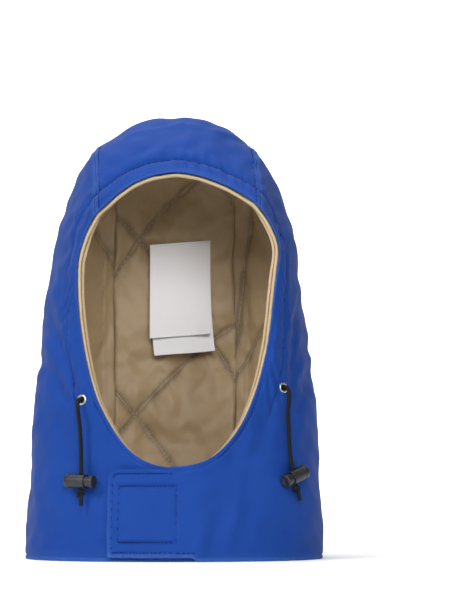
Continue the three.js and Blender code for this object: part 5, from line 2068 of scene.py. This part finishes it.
@dataclass
class Labels:
    """Two bare sewn-in labels that hang from the back lining, the shorter one in front."""

    cloth: Cloth
    width: float = 0.057
    slant: float = 0.08
    thickness: float = 0.0005
    layer: float = 0.0013
    top_up: float = 0.293
    side: float = 0.005
    standoff: float = 0.0013
    wave: float = 0.0011
    corner_lift: float = 0.004
    top_fold: float = 0.0006
    depth: float = 0.00825
    material: bpy.types.Material = field(default_factory=LABEL_SATIN.material)

    def sheet(self, drop: float, shift: float, layer: int, curl: float) -> tuple[Array, Array]:
        """Work out one label, sewn at its slanting top edge: it hangs plumb, curled and a little waved.

        Args:
            drop: Length of the label.
            shift: How far to the right its lower edge hangs.
            layer: 0 for the rear one and 1 for the front one.
            curl: How far the lower edge comes forward.

        Returns:
            The points of its front, and its flat coordinates.
        """
        columns, rows = np.linspace(-0.5, 0.5, 44), np.linspace(0, 1, 64)
        across, share = np.meshgrid(columns, rows)
        x = self.side + shift * share**3 + across * self.width
        z = self.top_up - share * drop + across * self.width * self.slant
        around = 2 * x[0] / self.cloth.form.seam_spacing
        start = np.full_like(around, 0.23)
        along = solve(lambda at: self.wall(at, around)[..., 2] - self.top_up, start, start + 0.77)
        behind = self.wall(along, around)[:, 1]
        bent = behind.min() + 0.35 * (behind - behind.min())
        wave = self.wave * np.sin(5.2 * across + 3.1 * share + layer) * share
        corner = self.corner_lift * smooth(0.25, 0.62, across) * smooth(0.6, 1.0, share) ** 2
        fold = self.top_fold * hill(share, 0.012)
        y = bent - self.standoff - layer * self.layer - curl * share**2 - wave - corner + fold
        y = np.minimum(y, behind.min() - 0.0004 - layer * self.layer)
        flat = np.stack([across * self.width, (1 - share) * drop], axis=-1)
        return np.stack([x, y - self.thickness, z], axis=-1), flat

    def wall(self, along: Array, around: Array) -> Array:
        """Give points of the lining's inner face without its quilting."""
        point = self.cloth.form.folded(along, around)
        return point - self.cloth.form.outward(self.cloth.form.folded, along, around) * self.depth

    def stitched(self, front: Array, needle: "Needle") -> Shape:
        """Sew the row along a label's top edge."""
        column = np.linspace(0.6, front.shape[1] - 1.6, 120)
        path = between(front, np.full_like(column, 1.4), column)
        return needle.row(path, np.broadcast_to([0.0, -1.0, 0.0], path.shape))

    def build(self) -> None:
        labels = (("back", 0.105, 0.0044, 0, 0.0025), ("front", 0.089, 0.0, 1, 0.005))
        for name, drop, shift, layer, curl in labels:
            front, flat = self.sheet(drop, shift, layer, curl)
            shape = Shape.wall(front + [0, self.thickness, 0], front, flat)
            piece = dressed(shape.made(f"label_sheet_{name}"), self.material, Slot.LABEL, f"label_{name}")
        row = self.stitched(front, Needle(pitch=0.0026, length=0.0019, radius=0.00024))
        dressed(row.made("label_stitches"), LABEL_THREAD.material(), Slot.LABEL)


@dataclass
class Needle:
    """Sews rows of stitches onto the cloth, each stitch a short bent capsule that is half sunk."""

    pitch: float = 0.0034
    length: float = 0.0025
    radius: float = 0.00036
    sides: int = 6

    def row(self, path: Array, out: Array) -> Shape:
        """Sew one row.

        Args:
            path: Close points of the seam line.
            out: Outward directions there.

        Returns:
            All stitches of the row as one shape.
        """
        run = travelled(path, 0)[-1]
        count = max(int(run / self.pitch), 2)
        both = spaced(np.concatenate([path, out], axis=1), 4 * count + 1)
        middle, away = both[2::4, :3], unit(both[2::4, 3:])
        forward = unit(both[3::4, :3] - both[1::4, :3])
        side = unit(np.cross(forward, away))
        share = np.array([-1.0, -0.72, 0.0, 0.72, 1.0])
        rise = self.radius * (0.9 - 1.5 * share**2)
        girth = self.radius * np.sqrt(np.maximum(1 - 0.9 * share**4, 0.05))
        turn = np.linspace(0, 2 * np.pi, self.sides, endpoint=False)
        spine = (
            middle[:, None]
            + forward[:, None] * (share * self.length / 2)[None, :, None]
            + away[:, None] * rise[None, :, None]
        )
        ring = away[:, None, None] * np.cos(turn)[None, None, :, None]
        ring = ring + side[:, None, None] * np.sin(turn)[None, None, :, None]
        points = spine[:, :, None] + ring * girth[None, :, None, None]
        index, around = ring_numbers(len(share), self.sides)
        one = grid_quads(around)
        starts = np.arange(len(middle)) * index.size
        quads = (one[None] + starts[:, None, None]).reshape(-1, 4)
        first = (index[:1, ::-1][None] + starts[:, None, None]).reshape(-1, self.sides)
        last = (index[-1:][None] + starts[:, None, None]).reshape(-1, self.sides)
        round_it, along_it = turn[None, None] * self.radius, (share * self.length / 2)[None, :, None]
        flat = np.stack(np.broadcast_arrays(round_it, along_it), axis=-1)
        flat = np.broadcast_to(flat, (len(middle), *flat.shape[1:])).reshape(-1, 2)
        return Shape(points.reshape(-1, 3), [quads, first, last], flat)


@dataclass
class Stitching:
    """Every row of stitches that shows on the shell and on the lining."""

    cloth: Cloth
    needle: Needle = field(default_factory=lambda: Needle(radius=0.00042))
    quilt_needle: Needle = field(default_factory=lambda: Needle(pitch=0.0036, length=0.0027, radius=0.00027))

    def on_shell(self, along: Array, around: Array, lift: Array | float = 0.0) -> Shape:
        """Sew a row on the outer face, through places given by along and around."""
        point, out = self.cloth.frame_at(along, around)
        return self.needle.row(point + out * (np.zeros_like(along) + lift)[..., None], out)

    def beside_edge(self, distance: Callable[[Array], Array], start: float, end: float) -> Shape:
        """Sew a row at a distance from the face edge between two around values."""
        around = np.linspace(start, end, 700)
        return self.on_shell(self.cloth.form.along_from_edge(distance(around), around), around)

    def seam_row(self, side: int) -> Shape:
        """Sew the row beside one panel seam, on the centre panel."""
        form, relief = self.cloth.form, self.cloth.relief
        along = np.linspace(0.004, 0.995, 900)
        around = np.full_like(along, side * (1 - 2 * relief.seam_row / form.seam_spacing))
        return self.on_shell(along, around)

    def flap_rows(self) -> list[Shape]:
        """Sew the rows inside the flap's edges and the square over the patch."""
        lap, form = self.cloth.lap, self.cloth.form
        left, right, low, high = lap.box()
        end, top = lap.inset - lap.reach, lap.top_up - lap.inset
        turn = np.linspace(0, np.pi / 2, 8)
        round_corner = lap.corner - lap.inset
        corner = [
            (end + round_corner * (1 - math.sin(a)), top - round_corner * (1 - math.cos(a))) for a in turn
        ]
        square = [(left, high), (right, high), (right, low), (left, low), (left, high)]
        bottom = lap.hem_up + lap.inset + 0.0007
        edge = [(0.0, top), *corner, (end, bottom), (lap.underlap, bottom)]
        rows = []
        for line in (square, edge):
            path = spaced(np.array(line), 500)
            around = lap.around(path[:, 0])
            along = form.along_at_height(path[:, 1], around)
            sunk = lap.sewn(path[:, 0], path[:, 1])
            rows.append(self.on_shell(along, around, lap.over_lift * lap.flap_share(around) - sunk))
        return rows

    def build(self, quilts: Sequence[QuiltFace]) -> None:
        """Make and dress the stitches of the shell and those of the quilting."""
        relief = self.cloth.relief
        ends = [self.cloth.form.find_on_front(*place)[1] for place in self.cloth.form.eyelets]
        rows = [
            self.beside_edge(relief.channel, ends[0] + 0.012, ends[1] - 0.012),
            self.beside_edge(lambda around: np.full_like(around, relief.edge_row), 1.9, 2.995),
            self.beside_edge(lambda around: np.full_like(around, relief.edge_row), -2.045, -1.9),
            self.seam_row(-1),
            self.seam_row(1),
            *self.flap_rows(),
        ]
        dressed(joined(rows).made("shell_stitches"), SHELL_THREAD.material(), Slot.SHELL)
        lines = [self.quilt_needle.row(*line) for quilt in quilts for line in quilt.lines()]
        dressed(joined(lines).made("quilting_stitches"), QUILT_THREAD.material(), Slot.LINING)


@dataclass
class Studio:
    """A pale seamless ground, soft light and the camera."""

    distance: float = 1.828
    camera_up: float = 0.0588
    camera_side: float = -0.004
    pitch: float = 0.0931
    yaw: float = 0.0267
    focal_pixels: float = 2047.0
    frame_pixels: float = 600.0
    sensor: float = 24.0

    def camera(self) -> None:
        """Place the camera at the photograph's angle."""
        data = bpy.data.cameras.new("camera")
        data.sensor_fit = "VERTICAL"
        data.sensor_height = self.sensor
        data.lens = self.sensor * self.focal_pixels / self.frame_pixels
        data.clip_start = 0.05
        data.clip_end = 30
        camera = bpy.data.objects.new("camera", data)
        camera.location = (self.camera_side, -self.distance, self.camera_up)
        camera.rotation_euler = (math.pi / 2 + self.pitch, 0, -self.yaw)
        bpy.context.scene.collection.objects.link(camera)
        bpy.context.scene.camera = camera

    def ground(self) -> None:
        """Make the ground: level under the hood, and curving up into a wall far behind it."""
        front, side, back, bend, top = -0.85, 2.2, 2.6, 1.2, 3.0
        turn = np.linspace(0, np.pi / 2, 24)
        y = np.concatenate([[front], back + bend * np.sin(turn), [back + bend]])
        z = np.concatenate([[0], bend * (1 - np.cos(turn)), [top]])
        x = np.linspace(-side, side, 3)
        points = np.stack(np.broadcast_arrays(x, y[:, None], z[:, None]), axis=-1)
        index = np.arange(points[..., 0].size).reshape(points.shape[:2])
        ground = Shape(points.reshape(-1, 3), [grid_quads(index)]).made("ground")
        ground.data.materials.append(STUDIO_GROUND.material())

    def light(
        self, name: str, place: Sequence[float], aim: Sequence[float], size: float, power: float
    ) -> None:
        """Add one square soft light.

        Args:
            name: Its name.
            place: Where it stands.
            aim: Where it points.
            size: Its side.
            power: Its power in watts.
        """
        data = bpy.data.lights.new(name, "AREA")
        data.size = size
        data.energy = power
        lamp = bpy.data.objects.new(name, data)
        lamp.location = place
        lamp.rotation_euler = (Vector(aim) - Vector(place)).to_track_quat("-Z", "Y").to_euler()
        bpy.context.scene.collection.objects.link(lamp)

    def build(self) -> None:
        """Set up the whole studio."""
        self.camera()
        self.ground()
        self.light("key", (-1.5, -1.7, 1.5), (0, 0, 0.2), 0.8, 40)
        self.light("front", (0.1, -2.4, 1.15), (0, 0, 0.2), 1.0, 34)
        self.light("fill", (0.9, -2.3, 0.7), (0, 0, 0.2), 0.8, 10)
        self.light("top", (-0.2, 0.3, 2.2), (0, 0, 0.2), 1.2, 34)
        world = bpy.data.worlds.new("studio")
        world.use_nodes = True
        world.node_tree.nodes["Background"].inputs["Color"].default_value = (1, 1, 1, 1)
        world.node_tree.nodes["Background"].inputs["Strength"].default_value = 0.15
        bpy.context.scene.world = world
        bpy.context.scene.view_settings.view_transform = "Standard"


def main() -> None:
    """Build the studio, the cords and then the rest of the hood."""
    logging.basicConfig(level=logging.INFO, format="%(name)s: %(message)s")
    form = HoodForm()
    cloth = Cloth(form, ChinLap(form), ClothRelief(form))
    Studio().build()
    locks = {
        "left": CordLock("left", form, ROUTES["left"], up=0.0669, side=-1, tilt_degrees=2),
        "right": CordLock("right", form, ROUTES["right"], up=0.071, side=1, tilt_degrees=20),
    }
    for name, lock in locks.items():
        CordEnd(name, ROUTES[name]).build(lock.build())
    Shell(cloth).build()
    quilts = Lining(cloth, Settling()).build()
    Binding(cloth).build()
    ClosurePatch(cloth).build()
    for name, place in zip(ROUTES, form.eyelets):
        Eyelet(name, cloth, place).build()
    Labels(cloth).build()
    Stitching(cloth).build(quilts)
    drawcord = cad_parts["drawcord"]
    drawcord.data.materials.clear()
    drawcord.data.materials.append(CORD_BRAID.material())


if __name__ == "__main__":
    main()
